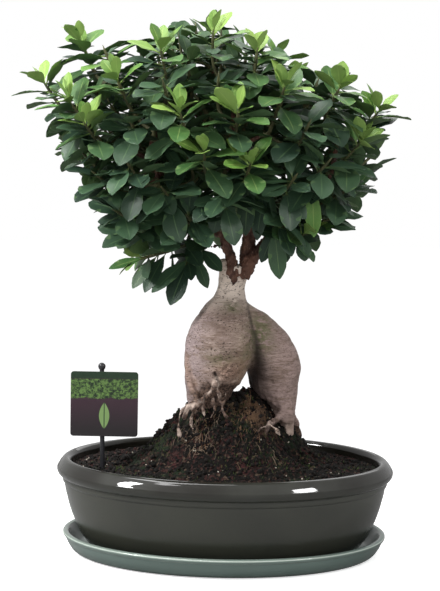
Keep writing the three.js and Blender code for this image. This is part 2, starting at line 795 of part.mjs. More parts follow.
// A green arm from the foot to one whorl, bent aside until it is clear, or nothing
function armOf({ foot, way }, { tip, direction, young, phase }, second, obstacles) {
  const span = WHORL_SPAN / OLD_LEAVES;
  const stub = foot.clone().addScaledVector(way, FOOT_TWIG.stub);
  const start = second ? stub.clone().lerp(foot, 0.3) : foot;
  const whorlFoot = tip.clone().addScaledVector(direction, -WHORL_SPAN);
  const top = tip.clone().addScaledVector(direction, (YOUNG_LEAVES + 0.5) * YOUNG_STEP);
  const bow = FOOT_TWIG.bow * stub.distanceTo(whorlFoot);
  const [side, up] = acrossOf(direction);
  for (const [aside, turn] of ARM_BENDS) {
    const bend = stub.clone().lerp(whorlFoot, 0.5);
    bend.addScaledVector(direction, -bow);
    bend.addScaledVector(side, aside * Math.cos(turn)).addScaledVector(up, aside * Math.sin(turn));
    const points = second ? [start, bend] : [start, stub, bend];
    const way = [...points, whorlFoot, top];
    const shape = shapeOf(tube(way, way.map(() => TWIG.foot + CLEARANCE), TWIG.sides));
    if (!isClear(shape, obstacles)) continue;
    const bare = points.length;
    for (let k = 0; k <= OLD_LEAVES; k++) {
      points.push(whorlFoot.clone().addScaledVector(direction, k * span));
    }
    const taper = (i) => mix(TWIG.middle, TWIG.tip, (i - bare) / OLD_LEAVES);
    const radii = points.map((_, i) => (i < bare ? TWIG.foot : taper(i)));
    const turns = points.map((_, i) => phase + Math.max(0, i - bare) * TWIG.twist);
    return { points, radii, turns, shape, tip, top, direction, young };
  }
  return null;
}

// One spray's foot and arms, from the limb and the foot that leave every arm clear
function growSpray(shoots, wood, green) {
  const middle = new THREE.Vector3();
  for (const { tip, direction } of shoots) {
    middle.addScaledVector(tip, 1 / shoots.length).addScaledVector(direction, -WHORL_SPAN / shoots.length);
  }
  for (const limb of limbsNear(middle)) {
    for (const share of FOOT_SHARES) {
      const foot = footBetween(limb, middle, share);
      if (!isClear(foot.shape, green)) continue;
      const obstacles = [...wood, foot.shape, ...green];
      const arms = shoots.map((shoot, k) => armOf(foot, shoot, k > 0, obstacles));
      if (arms.every((arm) => arm)) return { foot, arms };
    }
  }
  throw new Error("a spray is never clear");
}

const woodShapes = LIMBS.map((limb) => shapeOf(geometryOf(limbTube(limb, 2 * CLEARANCE))));
const armShapes = [];
const sprays = pairUp(crownTips()).map((shoots) => {
  const spray = growSpray(shoots, woodShapes, armShapes);
  woodShapes.push(spray.foot.shape);
  armShapes.push(...spray.arms.map((arm) => arm.shape));
  return spray;
});
const footTwigs = sprays.map(({ foot }) => solidOf(foot.twig(0)));
const wood = joined([...LIMBS.map((limb) => limbTube(limb, 0)), ...footTwigs]);

// Leaves: each keeps clear of the wood, of every arm that isn't its own and of the leaves before it

const trunkShape = shapeOf(geometryOf(trunkBody(2 * CLEARANCE)));
const leafShapes = [];
let youngTips = 0;
for (const [i, { arms }] of sprays.entries()) {
  const solids = [];
  for (const arm of arms) {
    const otherArms = armShapes.filter((shape) => shape !== arm.shape);
    const placed = [trunkShape, ...woodShapes, ...otherArms, ...leafShapes];
    const bud = [arm.tip.clone().addScaledVector(arm.direction, 1), arm.top];
    const budShape = shapeOf(tube(bud, [TWIG.foot, TWIG.middle], 2 * TWIG.sides));
    const before = placed.length;
    placed.push(budShape);
    const old = whorlLeaves(OLD_LEAVES, [BLADE.oldLength, BLADE.newLength], OLD_SPREAD, OLD_SAG);
    solids.push(solidOf(leafyTwig(arm.points, arm.radii, arm.turns, growWhorl(arm, old, placed))));
    if (arm.young) {
      const steps = Array.from({ length: YOUNG_LEAVES + 1 }, (_, k) => k);
      const along = (distance) => arm.tip.clone().addScaledVector(arm.direction, distance);
      const points = steps.map((k) => along(SEAT_GAP + k * YOUNG_STEP));
      const radii = steps.map((k) => mix(TWIG.tip - 0.1, 0.8, k / YOUNG_LEAVES));
      const turns = steps.map((k) => arm.turns[0] + 1 + k * TWIG.twist);
      const fresh = whorlLeaves(YOUNG_LEAVES, [BLADE.youngLength, BLADE.budLength], YOUNG_SPREAD, 0);
      placed.splice(before, 1);
      const leaves = growWhorl({ points, turns }, fresh, placed);
      youngTips += 1;
      addPiece("young_tip_" + youngTips, leafyTwig(points, radii, turns, leaves), youngLeaf);
    }
    leafShapes.push(...placed.slice(before).filter((shape) => shape !== budShape));
  }
  addPiece("spray_" + (i + 1), geometryOf(joined(solids)), darkLeaf);
}

// The scions stand in slots cut in the neck, and the roots in plain holes in the soil

const scionSlots = LIMBS.slice(0, SCIONS).map((limb) => limbTube(limb, SEAT_GAP));
const trunkSolid = scionSlots.reduce((body, slot) => body.subtract(slot), trunkBody(0));
const soil = soilSolid()
  .subtract(trunkBody(SEAT_GAP))
  .subtract(stakeSolid(SEAT_GAP))
  .subtract(screenPocket(-DRAIN_HOLE.offset))
  .subtract(screenPocket(DRAIN_HOLE.offset));

addPiece("saucer", ovalTurn(saucerProfile, keepHeight), saucerGlaze);
addPiece("pot", geometryOf(potSolid), potGlaze);
addPiece("drain_screen_left", drainScreen(-DRAIN_HOLE.offset), screenPlastic);
addPiece("drain_screen_right", drainScreen(DRAIN_HOLE.offset), screenPlastic);
addPiece("soil", geometryOf(soil), peat);
addPiece("trunk", geometryOf(trunkSolid), bark);
addPiece("branches", geometryOf(wood), redBark);
addPiece("label_stake", geometryOf(stakeSolid(0)), stakePlastic);
const card = addPiece("label_card", labelCard(), cardPlastic);
card.rotation.set(Math.PI / 2, 0, 0);
const cardY = LABEL_PLACE.y - STAKE.radius - SEAT_GAP;
card.position.set(LABEL_PLACE.x, cardY, LABEL_PLACE.bottom + LABEL.height / 2);

export default group;
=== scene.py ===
# %% [markdown]
# # A ficus ginseng bonsai in its glazed pot
#
# The real plant stands on two swollen roots that meet in a short neck. Three stems are grafted into the neck,
# and they carry a dense, flat-topped crown of leathery leaves. It grows in an oval stoneware pot that stands on
# a saucer, with a small label on a stake.
#
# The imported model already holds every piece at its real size. This lesson dresses it: each surface is worked
# out with numpy in millimetres, in the same frame, and turned into metres only when the mesh is made.

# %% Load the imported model
import math

import bpy
import numpy as np
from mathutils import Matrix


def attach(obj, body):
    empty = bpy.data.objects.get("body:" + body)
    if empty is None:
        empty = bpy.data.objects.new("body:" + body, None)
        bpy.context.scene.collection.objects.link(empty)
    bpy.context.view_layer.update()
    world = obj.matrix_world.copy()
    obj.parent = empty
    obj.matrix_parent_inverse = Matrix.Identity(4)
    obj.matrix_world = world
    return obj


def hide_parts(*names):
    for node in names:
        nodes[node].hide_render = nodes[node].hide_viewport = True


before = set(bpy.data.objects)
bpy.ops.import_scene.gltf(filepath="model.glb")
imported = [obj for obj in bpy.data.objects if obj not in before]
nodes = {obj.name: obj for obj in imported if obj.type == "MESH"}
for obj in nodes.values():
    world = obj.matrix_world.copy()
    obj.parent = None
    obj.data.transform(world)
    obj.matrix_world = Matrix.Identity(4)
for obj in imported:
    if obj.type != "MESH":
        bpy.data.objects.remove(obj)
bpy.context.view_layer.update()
spray_names = sorted(name for name in nodes if name.startswith("spray_"))
young_names = sorted(name for name in nodes if name.startswith("young_tip_"))

# %% [markdown]
# ## Camera, light and floor
#
# The photograph was taken from almost two metres away, slightly above the crown, so the lines of the pot hardly
# converge. The camera stands there, turned by the same small angles. Two oblong soft lights give the pot its two
# bright marks, and a large one from above models the crown. A broad one in front and a weak one beside the camera
# lift the shadows without showing in the glaze, one behind lights the back, and a pale room fills the rest.

# %% Camera
MM = 0.001
camera_place = np.array([-8.63, -1900.0, 474.05])
camera_down = math.radians(6.18)
camera_roll = math.radians(1.07)
FOCAL_PIXELS = 1849.87
PHOTO_HEIGHT = 591


def unit(vectors):
    """Each vector divided by its own length."""
    return vectors / np.maximum(np.linalg.norm(vectors, axis=-1, keepdims=True), 1e-9)


def dot(a, b):
    """The scalar product of each pair of vectors, kept as a column."""
    return (a * b).sum(-1, keepdims=True)


ahead = np.array([0.0, math.cos(camera_down), -math.sin(camera_down)])
level_up = np.array([0.0, math.sin(camera_down), math.cos(camera_down)])
level_right = np.array([1.0, 0.0, 0.0])
right = level_right * math.cos(camera_roll) + level_up * math.sin(camera_roll)
up = level_up * math.cos(camera_roll) - level_right * math.sin(camera_roll)

camera = bpy.data.objects.new("camera", bpy.data.cameras.new("camera"))
bpy.context.scene.collection.objects.link(camera)
placing = np.eye(4)
placing[:3, 0] = right
placing[:3, 1] = up
placing[:3, 2] = -ahead
placing[:3, 3] = camera_place * MM
camera.matrix_world = placing.T.tolist()
camera.data.sensor_width = 36
camera.data.lens = FOCAL_PIXELS * camera.data.sensor_width / PHOTO_HEIGHT
camera.data.clip_start = 0.1
camera.data.clip_end = 20
bpy.context.scene.camera = camera
print("lens", round(camera.data.lens, 1), "mm")

# %% Lights and room


def soft_light(name, place, target, size, power, in_glaze):
    """An oblong lamp that faces its target. Its size is in metres, and in_glaze says whether gloss mirrors it."""
    lamp = bpy.data.lights.new(name, "AREA")
    lamp.shape = "RECTANGLE"
    lamp.size, lamp.size_y = size
    lamp.energy = power
    holder = bpy.data.objects.new(name, lamp)
    holder.visible_glossy = in_glaze
    bpy.context.scene.collection.objects.link(holder)
    back = unit(np.array(place, float) - np.array(target, float))
    side = unit(np.cross([0, 0, 1], back))
    turn = np.eye(4)
    turn[:3, 0] = side
    turn[:3, 1] = np.cross(back, side)
    turn[:3, 2] = back
    turn[:3, 3] = place
    holder.matrix_world = turn.T.tolist()


# Name, place, target, width and height, watts, mirrored in the glaze
LAMPS = [
    ("left_softbox", (-1.09, -0.49, 1.12), (-0.09, -0.12, 0.09), (0.22, 0.42), 25, True),
    ("right_softbox", (0.99, -0.78, 1.07), (0.07, -0.12, 0.09), (0.34, 0.24), 8, True),
    ("overhead", (-0.5, -0.1, 2.1), (0, 0, 0.4), (1.2, 1.2), 43, True),
    ("front_fill", (-0.6, -2.6, 1.45), (0, 0, 0.3), (4.4, 2.4), 32, False),
    ("beside_camera", (0, -2.0, 0.52), (0, 0, 0.3), (0.5, 0.5), 4.5, False),
    ("back_softbox", (0.3, 1.8, 1.5), (0, 0, 0.4), (1.6, 1.0), 8, True),
]
for lamp_numbers in LAMPS:
    soft_light(*lamp_numbers)

# How bright the white room is for the plant, and how bright the camera sees it
ROOM_ON_PLANT, ROOM_IN_VIEW = 0.62, 1.0
room = bpy.data.worlds.new("room")
room.use_nodes = True
seen = room.node_tree.nodes.new("ShaderNodeLightPath").outputs["Is Camera Ray"]
glow = room.node_tree.nodes.new("ShaderNodeMapRange")
glow.inputs["To Min"].default_value = ROOM_ON_PLANT
glow.inputs["To Max"].default_value = ROOM_IN_VIEW
room.node_tree.links.new(seen, glow.inputs["Value"])
room.node_tree.links.new(glow.outputs["Result"], room.node_tree.nodes["Background"].inputs["Strength"])
room.node_tree.nodes["Background"].inputs["Color"].default_value = (1, 1, 1, 1)
bpy.context.scene.world = room
bpy.context.scene.view_settings.view_transform = "Standard"
print("lamps", len(LAMPS))

# %% [markdown]
# ## Tools: surfaces as arrays
#
# Every shape here is a set of rings. One function numbers the corners of the faces between them, one closes them
# at both ends, and one turns arrays into a Blender mesh.

# %% Surface tools


def ring_corners(rings, sides):
    """Corners of the quads between rings whose points are stored one ring after another.

    The faces look along (step to the next point) x (step to the next ring)."""
    ring, side = np.meshgrid(np.arange(rings - 1), np.arange(sides), indexing="ij")
    beside = (side + 1) % sides
    corners = [ring * sides + side, ring * sides + beside]
    corners += [(ring + 1) * sides + beside, (ring + 1) * sides + side]
    return np.stack(corners, axis=-1).reshape(-1, 4)


def closed_skin(rings):
    """Points and faces of a closed skin over rings, each anticlockwise about the way to the next ring.

    A fan of triangles about the mean of the first and of the last ring closes the ends."""
    count, sides = rings.shape[:2]
    points = np.concatenate([rings.reshape(-1, 3), rings[[0, -1]].mean(axis=1)])
    here = np.arange(sides)
    beside = (here + 1) % sides
    last = (count - 1) * sides
    first_fan = np.stack([np.full(sides, count * sides), beside, here], axis=1)
    last_fan = np.stack([np.full(sides, count * sides + 1), last + here, last + beside], axis=1)
    return points, [ring_corners(count, sides), np.concatenate([first_fan, last_fan])]


def gather(skins):
    """Several closed skins as one: their points in one list and their corner numbers moved on to match."""
    starts = np.cumsum([0] + [len(points) for points, _ in skins])
    points = np.concatenate([points for points, _ in skins])
    kinds = range(len(skins[0][1]))
    return points, [np.concatenate([faces[k] + start for (_, faces), start in zip(skins, starts)]) for k in kinds]


def repeated(points, faces, copies):
    """Corner numbers for a shape that is repeated: those of copy k are moved on by k times its points."""
    steps = (np.arange(copies) * points)[:, None, None]
    return [(corners[None] + steps).reshape(-1, corners.shape[1]) for corners in faces]


def make_mesh(name, points, faces, marks=None, prints=None):
    """A mesh from points in millimetres and arrays of corner numbers.

    marks gives a number to each point by name, and prints gives its place in the pattern to each corner."""
    corners = np.concatenate([part.ravel() for part in faces])
    sizes = np.concatenate([np.full(len(part), part.shape[1]) for part in faces])
    mesh = bpy.data.meshes.new(name)
    mesh.vertices.add(len(points))
    mesh.vertices.foreach_set("co", (points * MM).astype(np.float32).ravel())
    mesh.loops.add(len(corners))
    mesh.loops.foreach_set("vertex_index", corners.astype(np.int32))
    mesh.polygons.add(len(sizes))
    mesh.polygons.foreach_set("loop_start", (np.cumsum(sizes) - sizes).astype(np.int32))
    mesh.polygons.foreach_set("use_smooth", np.ones(len(sizes), bool))
    mesh.update(calc_edges=True)
    if prints is not None:
        mesh.uv_layers.new(name="pattern").uv.foreach_set("vector", prints.astype(np.float32).ravel())
    for mark_name, values in (marks or {}).items():
        mesh.attributes.new(mark_name, "FLOAT", "POINT").data.foreach_set("value", values.astype(np.float32).ravel())
    return mesh


def add_piece(name, mesh, finish, replaces=()):
    """Puts a mesh into the scene as a piece of the tree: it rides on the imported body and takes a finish."""
    piece = bpy.data.objects.new(name, mesh)
    bpy.context.scene.collection.objects.link(piece)
    mesh.materials.append(finish)
    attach(piece, "root")
    if replaces:
        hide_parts(*replaces)
    return piece


# %% Lines and tubes


def curve_through(points, steps):
    """A smooth line through points: between two of them it is the cubic p(t) of Catmull and Rom,

    p(t) = p1 + t (p2 - p0) / 2 + t^2 (p0 - 5/2 p1 + 2 p2 - p3 / 2) + t^3 (3/2 (p1 - p2) + (p3 - p0) / 2)."""
    points = np.asarray(points, float)
    padded = np.concatenate([2 * points[:1] - points[1:2], points, 2 * points[-1:] - points[-2:-1]])
    p0, p1, p2, p3 = (padded[k : len(padded) - 3 + k][:, None] for k in range(4))
    t = (np.arange(steps) / steps)[None, :, None]
    squared = p0 - 2.5 * p1 + 2 * p2 - 0.5 * p3
    cubed = 1.5 * (p1 - p2) + 0.5 * (p3 - p0)
    line = p1 + t * (p2 - p0) / 2 + t**2 * squared + t**3 * cubed
    return np.concatenate([line.reshape(-1, points.shape[1]), points[-1:]])


def across(way):
    """Two unit vectors across each way, so that side x rise = way."""
    helper = np.where(np.abs(way[..., 2:]) < 0.8, [0.0, 0.0, 1.0], [1.0, 0.0, 0.0])
    side = unit(np.cross(helper, way))
    return side, np.cross(way, side)


def tube(path, radii, sides):
    """Circles carried along a path: centre + radius (side cos a + rise sin a), closed at both ends."""
    path = np.asarray(path, float)
    side, rise = across(unit(np.gradient(path, axis=0)))
    angle = (2 * math.pi * np.arange(sides) / sides)[None, :, None]
    radii = np.broadcast_to(radii, len(path))[:, None, None]
    rings = path[:, None] + radii * (side[:, None] * np.cos(angle) + rise[:, None] * np.sin(angle))
    return closed_skin(rings)


RIPPLE_WAVES = 24


def ripple(points, length, seed):
    """Smooth random swells, about -1 to 1: a sum of sines along random ways, with waves near this length in mm."""
    rng = np.random.default_rng(seed)
    ways = unit(rng.normal(size=(RIPPLE_WAVES, points.shape[1])))
    ways = ways * 2 * math.pi / (length * rng.uniform(0.7, 1.5, (RIPPLE_WAVES, 1)))
    return np.sin(points @ ways.T + rng.uniform(0, 2 * math.pi, RIPPLE_WAVES)).sum(1) / math.sqrt(RIPPLE_WAVES)


# %% [markdown]
# ## Finishes
#
# Each finish is a small tree of nodes that reads the object's own coordinates in metres, or marks stored on the
# mesh, so a pattern stays on its piece from every side. Colours are laid over one another as a painter does it.

# %% Node helpers


def paint(red, green, blue):
    """A colour as a screen shows it, 0 to 255, turned into the linear numbers that the shader wants."""
    screen = np.array([red, green, blue]) / 255
    linear = np.where(screen <= 0.04045, screen / 12.92, ((screen + 0.055) / 1.055) ** 2.4)
    return (*linear.tolist(), 1.0)


def start_finish(name, roughness, specular=0.5, coat=0.0, coat_roughness=0.1):
    """A new material with its shader's plain numbers set, and the two that the nodes are added to."""
    finish = bpy.data.materials.new(name)
    finish.use_nodes = True
    shader = finish.node_tree.nodes["Principled BSDF"]
    shader.inputs["Roughness"].default_value = roughness
    shader.inputs["Specular IOR Level"].default_value = specular
    shader.inputs["Coat Weight"].default_value = coat
    shader.inputs["Coat Roughness"].default_value = coat_roughness
    return finish, finish.node_tree, shader


def plug(tree, socket, value):
    """Fills an input with another node's output, a number or a colour."""
    if isinstance(value, bpy.types.NodeSocket):
        tree.links.new(value, socket)
    else:
        socket.default_value = value


def add_node(tree, kind, output, inputs, **settings):
    """Adds a node with these settings and inputs, and gives back one of its outputs."""
    made = tree.nodes.new("ShaderNode" + kind)
    for key, value in settings.items():
        setattr(made, key, value)
    for key, value in inputs.items():
        plug(tree, made.inputs[key], value)
    return made.outputs[output]


def calc(tree, operation, a, b=0.0, clamp=False):
    """One sum on two numbers."""
    return add_node(tree, "Math", 0, {0: a, 1: b}, operation=operation, use_clamp=clamp)


def times(tree, a, b, clamp=False):
    """The product of two numbers."""
    return calc(tree, "MULTIPLY", a, b, clamp)


def mixed(tree, factor, a, b):
    """Colour a where the factor is 0 and colour b where it is 1."""
    return add_node(tree, "Mix", 2, {0: factor, 6: a, 7: b}, data_type="RGBA")


def layered(tree, colour, layers):
    """Colours laid over a ground, one after another. Each layer is how far it covers, 0 to 1, and its colour."""
    for cover, over in layers:
        colour = mixed(tree, cover, colour, over)
    return colour


def between(tree, value, low, high):
    """0 below low, 1 above high and a smooth step from one to the other."""
    inputs = {"Value": value, "From Min": low, "From Max": high}
    return add_node(tree, "MapRange", 0, inputs, interpolation_type="SMOOTHSTEP")


def object_place(tree, scale=(1, 1, 1)):
    """The place on the piece in metres, stretched by a scale along each axis."""
    place = add_node(tree, "TexCoord", "Object", {})
    return add_node(tree, "Mapping", 0, {"Vector": place, "Scale": scale})


def grain(tree, place, scale, detail=4.0, roughness=0.55):
    """Cloudy noise from 0 to 1 with this many swells a metre."""
    inputs = {"Vector": place, "Scale": scale, "Detail": detail, "Roughness": roughness}
    return add_node(tree, "TexNoise", 0, inputs)


def patches(tree, place, scale, detail, low, high, roughness=0.55):
    """Cloudy noise as patches: 0 where it is below low, 1 where it is above high."""
    return between(tree, grain(tree, place, scale, detail, roughness), low, high)


def mark(tree, name):
    """The number that the mesh stores under this name."""
    return add_node(tree, "Attribute", "Fac", {}, attribute_name=name)


def relief(tree, shader, height, depth_mm, strength):
    """Lets a height from 0 to 1 raise the surface by a depth in millimetres."""
    inputs = {"Height": height, "Distance": depth_mm * MM, "Strength": strength}
    tree.links.new(add_node(tree, "Bump", 0, inputs), shader.inputs["Normal"])


# %% [markdown]
# ## Pot and saucer
#
# Both are turned forms drawn in across their width, so one profile is carried round an oval. A dense profile
# keeps the lip, the groove and the bead crisp. The glaze is glossy and has another tint on the lip, where its
# coat is clearest. It pools in faint clouds and runs thin and pale over the two edges of the saucer's lip, where a
# painted highlight lines them. Painted shade and a painted reflection of the pot darken the inside of the saucer.

# %% Pot and saucer surfaces
POT_HALF_LENGTH, POT_HALF_WIDTH, FLOOR_RADIUS = 175.0, 136.5, 120.0
TURN_SIDES = 144
PROFILE_STEPS = 6


def oval_half_width(radius):
    """How far the oval reaches across where it reaches this radius along: so much less, or in proportion."""
    narrower = POT_HALF_LENGTH - POT_HALF_WIDTH
    return np.where(radius > FLOOR_RADIUS, radius - narrower, radius * (FLOOR_RADIUS - narrower) / FLOOR_RADIUS)


def turned(profile):
    """x = r cos a, y = w(r) sin a, z from the profile, for every profile point and every angle a."""
    radius, height = profile[:, 0, None], profile[:, 1, None]
    angle = 2 * math.pi * np.arange(TURN_SIDES)[None] / TURN_SIDES
    x = radius * np.cos(angle)
    y = oval_half_width(radius) * np.sin(angle)
    return np.stack([x, y, np.broadcast_to(height, x.shape)], axis=-1)


def profile_through(stretches):
    """Stretches of smooth curve one after another, with a corner where one ends and the next begins."""
    parts = [curve_through(stretch, PROFILE_STEPS) for stretch in stretches]
    return np.concatenate([part[:-1] for part in parts[:-1]] + [parts[-1]])


pot_profile = profile_through([
    [(0.5, 8.5), (60, 8.5), (126, 8.5), (128, 7), (129, 4.9)],
    [(129, 4.9), (137.6, 4.9)],
    [(137.6, 4.9), (139.4, 6), (145.6, 14), (152.2, 24), (160.4, 44), (165.4, 62), (167, 70), (167.3, 73)],
    [(167.3, 73), (168.5, 73.8), (169.2, 75.6), (169.1, 77.6), (168.7, 79)],
    [(168.7, 79), (170.6, 79.8), (173, 81.8), (174.6, 84.6), (175, 86.8), (174.8, 88.6), (174.05, 90),
     (173.25, 91.4), (172.4, 92.8), (171.5, 94.1), (170.5, 95.3), (168.6, 97.4), (166.2, 98.6), (163.4, 98.4),
     (160.2, 95.4), (159.2, 90), (157, 78), (151.6, 48), (145.4, 29), (138, 17.5), (130, 14.2)],
    [(130, 14.2), (60, 14), (0.5, 14)],
])
saucer_profile = profile_through([
    [(0.5, 0), (80, 0), (151, 0)],
    [(151, 0), (154.8, 0.9), (158.8, 3.6), (162.2, 8.2), (164.8, 13.2), (166.3, 17.2)],
    [(166.3, 17.2), (167.3, 17.5), (168.0, 18.4), (168.3, 19.6), (168.0, 20.8), (166.6, 21.8), (164.4, 22),
     (162.4, 20.8), (159.8, 16.8), (155.5, 10.6), (150.6, 6.2), (145, 4.6)],
    [(145, 4.6), (80, 4.5), (0.5, 4.5)],
])

# %% Glaze


def glaze(name, body, lip, lip_span, pool, coat_roughness):
    """Stoneware glaze, whose body colour turns into the lip's over a span of heights in mm.

    Cloudy pools and fine specks lie over both. The marks say where painted shade and a painted reflection of the pot
    darken the inside of the saucer, and where a painted highlight lies along an edge, over which the glaze also runs
    thin and pale. Below the lip the coat is duller, so that the mirrored lights are soft there."""
    finish, tree, shader = start_finish(name, 0.5, specular=0.12, coat=0.9, coat_roughness=coat_roughness)
    place = object_place(tree)
    height = add_node(tree, "SeparateXYZ", "Z", {"Vector": place})
    speckle = grain(tree, place, 900, detail=2)
    lip_low, lip_high = lip_span[0] * MM, lip_span[1] * MM
    colour = layered(tree, body, [
        (between(tree, height, lip_low, lip_high), lip),
        # Painted shade and a painted reflection of the pot darken the inside of the saucer
        (times(tree, mark(tree, "dish_shade"), 0.85), paint(46, 54, 52)),
        (patches(tree, place, 9, 6, 0.42, 0.75), pool),
        (times(tree, between(tree, speckle, 0.62, 0.72), 0.35), lip),
        # Painted highlight along the saucer lip's edges, where the glaze also runs thin and pale
        (times(tree, mark(tree, "thin_glaze_highlight"), 0.8), paint(176, 186, 176)),
    ])
    tree.links.new(colour, shader.inputs["Base Color"])
    below_lip = between(tree, height, lip_low + 3 * MM, lip_low)
    dull = calc(tree, "ADD", coat_roughness, times(tree, below_lip, 0.2))
    tree.links.new(dull, shader.inputs["Coat Roughness"])
    waves = calc(tree, "ADD", grain(tree, place, 38, detail=2), times(tree, speckle, 0.05))
    relief(tree, shader, waves, 0.4, strength=0.07)
    return finish


pot_glaze = glaze("pot_glaze", paint(50, 51, 44), paint(17, 15, 9), (78, 90), paint(42, 43, 38), 0.035)
saucer_glaze = glaze("saucer_glaze", paint(93, 109, 103), paint(101, 111, 104), (17, 23), paint(82, 98, 92), 0.03)

pot_points, pot_faces = closed_skin(turned(pot_profile))
pot = add_piece("pot_glazed", make_mesh("pot_glazed", pot_points, pot_faces), pot_glaze, ["pot"])

# The saucer's lip edges by radius and height, and how far from them the glaze is thin and a highlight is painted
LIP_EDGES = np.array([(167.0, 17.3), (168.1, 20.6)])
HIGHLIGHT_REACH = 0.55
saucer_points, saucer_faces = closed_skin(turned(saucer_profile))
past_lip = np.arange(len(saucer_profile)) > saucer_profile[:, 1].argmax() + PROFILE_STEPS
edge_gap = np.linalg.norm(saucer_profile[:, None] - LIP_EDGES, axis=2).min(1)
# Inside the saucer the glaze takes painted shade
dish_shade = np.append(np.repeat(past_lip, TURN_SIDES), [False, True])
thin_glaze_highlight = np.append(np.repeat(np.exp(-((edge_gap / HIGHLIGHT_REACH) ** 2)), TURN_SIDES), [0, 0])
saucer_mesh = make_mesh("saucer_glazed", saucer_points, saucer_faces, {"dish_shade": dish_shade, "thin_glaze_highlight": thin_glaze_highlight})
add_piece("saucer_glazed", saucer_mesh, saucer_glaze, ["saucer"])
print("pot", len(pot_points), "points, saucer", len(saucer_points), "points")

# %% Floor


def floor_finish():
    """White ground: seen by the camera it is near white, and farther off it glows into the bright room.

    For all other rays it is a plain grey, so that it doesn't light the plant from below."""
    finish, tree, shader = start_finish("floor_white", 0.7, specular=0.1)
    place = object_place(tree)
    distance = add_node(tree, "VectorMath", "Value", {0: place}, operation="LENGTH")
    far = between(tree, distance, 0.24, 0.75)
    faint = mixed(tree, grain(tree, place, 3), (0.9, 0.9, 0.9, 1), (0.94, 0.94, 0.94, 1))
    looked_at = add_node(tree, "LightPath", "Is Camera Ray", {})
    shown = mixed(tree, far, faint, (0, 0, 0, 1))
    tree.links.new(mixed(tree, looked_at, (0.24, 0.24, 0.24, 1), shown), shader.inputs["Base Color"])
    shader.inputs["Emission Color"].default_value = (1, 1, 1, 1)
    strength = times(tree, calc(tree, "ADD", times(tree, far, 0.52), 0.48), looked_at)
    tree.links.new(strength, shader.inputs["Emission Strength"])
    return finish


FLOOR_HALF = 4000.0
floor_corners = FLOOR_HALF * np.array([[-1, -1, 0], [1, -1, 0], [1, 1, 0], [-1, 1, 0]])
floor_mesh = make_mesh("floor", floor_corners, [np.array([[0, 1, 2, 3]])])
floor_mesh.materials.append(floor_finish())
floor = bpy.data.objects.new("floor", floor_mesh)
bpy.context.scene.collection.objects.link(floor)
print("floor", 2 * FLOOR_HALF * MM, "m wide")

# %% [markdown]
# ### Drain holes
#
# The pot has two round holes in its floor. A cutter for each is taken away from the closed form, as a potter
# cuts them out of the leather-hard clay.

# %% Drain holes
HOLE_X, HOLE_RADIUS, HOLE_SIDES = 62, 9, 32
for x in (-HOLE_X, HOLE_X):
    points, faces = tube([(x, 0, -10), (x, 0, 40)], HOLE_RADIUS, HOLE_SIDES)
    cutter = bpy.data.objects.new("drain_cutter", make_mesh("drain_cutter", points, faces))
    bpy.context.scene.collection.objects.link(cutter)
    cut = pot.modifiers.new("drain_hole", "BOOLEAN")
    cut.object = cutter
    cut.operation = "DIFFERENCE"
    cut.solver = "EXACT"
    whole = bpy.data.meshes.new_from_object(pot.evaluated_get(bpy.context.evaluated_depsgraph_get()))
    pot.modifiers.clear()
    pot.data = whole
    bpy.data.objects.remove(cutter)
print("pot with its drain holes has", len(pot.data.polygons), "faces")

# %% [markdown]
# ## Trunk
#
# The trunk of a ginseng ficus is its roots, lifted out of the soil. Each leg is a stack of level ovals, given by
# its left and right edges and its depth. The legs, the surface roots and the cut graft are joined by remeshing
# them as one body, which melts the seams as growing bark does.

# %% Trunk sections
# Each section is height, left edge, right edge, half depth and the depth of its middle
MAIN_BULB = [
    (116, -26, -14, 8, -8), (150, -37, -3, 20, -9), (172, -41, 9, 28, -8), (187, -42.5, 20, 33, -7),
    (202, -43.5, 26.5, 36, -6), (219, -43, 29.5, 37, -5), (236, -38.5, 28.5, 33, -3), (249, -31, 26, 28, -1),
    (259, -23.5, 21, 22, 0), (268, -15.5, 17.5, 17, 0), (280, -11.5, 17, 14.5, 0), (300, -9.5, 21, 14.5, 0),
]
RIGHT_LEG = [
    (104, 62, 68, 4, -2), (122, 60, 69.5, 6, 0), (133, 58.5, 70, 8, 1), (139, 52, 71.5, 14, 3),
    (146, 50, 72, 17, 5), (154, 46.5, 72.5, 20, 8), (160, 37, 73, 24, 12), (167, 28, 73.5, 27, 14),
    (175, 24, 74.5, 28, 15), (186, 21, 76.5, 31, 17), (202, 16, 75, 33, 18), (228, 8, 61, 28, 14),
    (240, 3, 50, 21, 9), (250, 1, 38, 15, 4), (257, 4, 26, 10, 2), (262, 8, 20, 7, 1),
]
# Each root is its places from the trunk down, its radius there and its radius in the soil
SIDE_ROOT = ([(-35, -8, 212), (-40.5, -16, 201), (-40, -24, 189), (-36, -31, 177), (-30, -37, 166),
              (-26, -44, 154)], 3.8, 2.8)
FRONT_ROOTS = [
    ([(-9, -39, 187), (-13.5, -43, 178), (-20, -46, 171), (-27, -48, 165), (-33, -52, 156)], 3.2, 2.4),
    ([(-11, -39, 182), (-9, -44, 174), (-5.5, -48, 164), (-3, -51, 156), (1, -54, 149)], 2.2, 1.3),
    ([(-27, -44, 164), (-34, -47, 163), (-39, -50, 158), (-43, -52, 148)], 3.4, 2.0),
    ([(-20, -40, 174), (-24, -47, 161), (-22, -51, 151)], 2.0, 1.2),
    ([(-40, -34, 160), (-46, -42, 152), (-48, -50, 140), (-47, -56, 130)], 2.2, 1.0),
    ([(-33, -48, 156), (-36, -55, 147), (-33, -60, 138)], 1.7, 0.8),
    ([(-14, -44, 168), (-12, -50, 158), (-16, -54, 149)], 1.8, 0.9),
    ([(-1, -40, 174), (-2, -46, 165), (-7, -51, 155)], 1.6, 0.9),
    ([(46, -30, 143), (42, -38, 140), (36, -43, 138), (32, -46, 134), (32, -49, 129), (37, -50, 126)], 1.5, 1.1),
    ([(45, -36, 141), (48, -40, 139), (52, -42, 135), (56, -42, 130)], 1.8, 1.5),
]
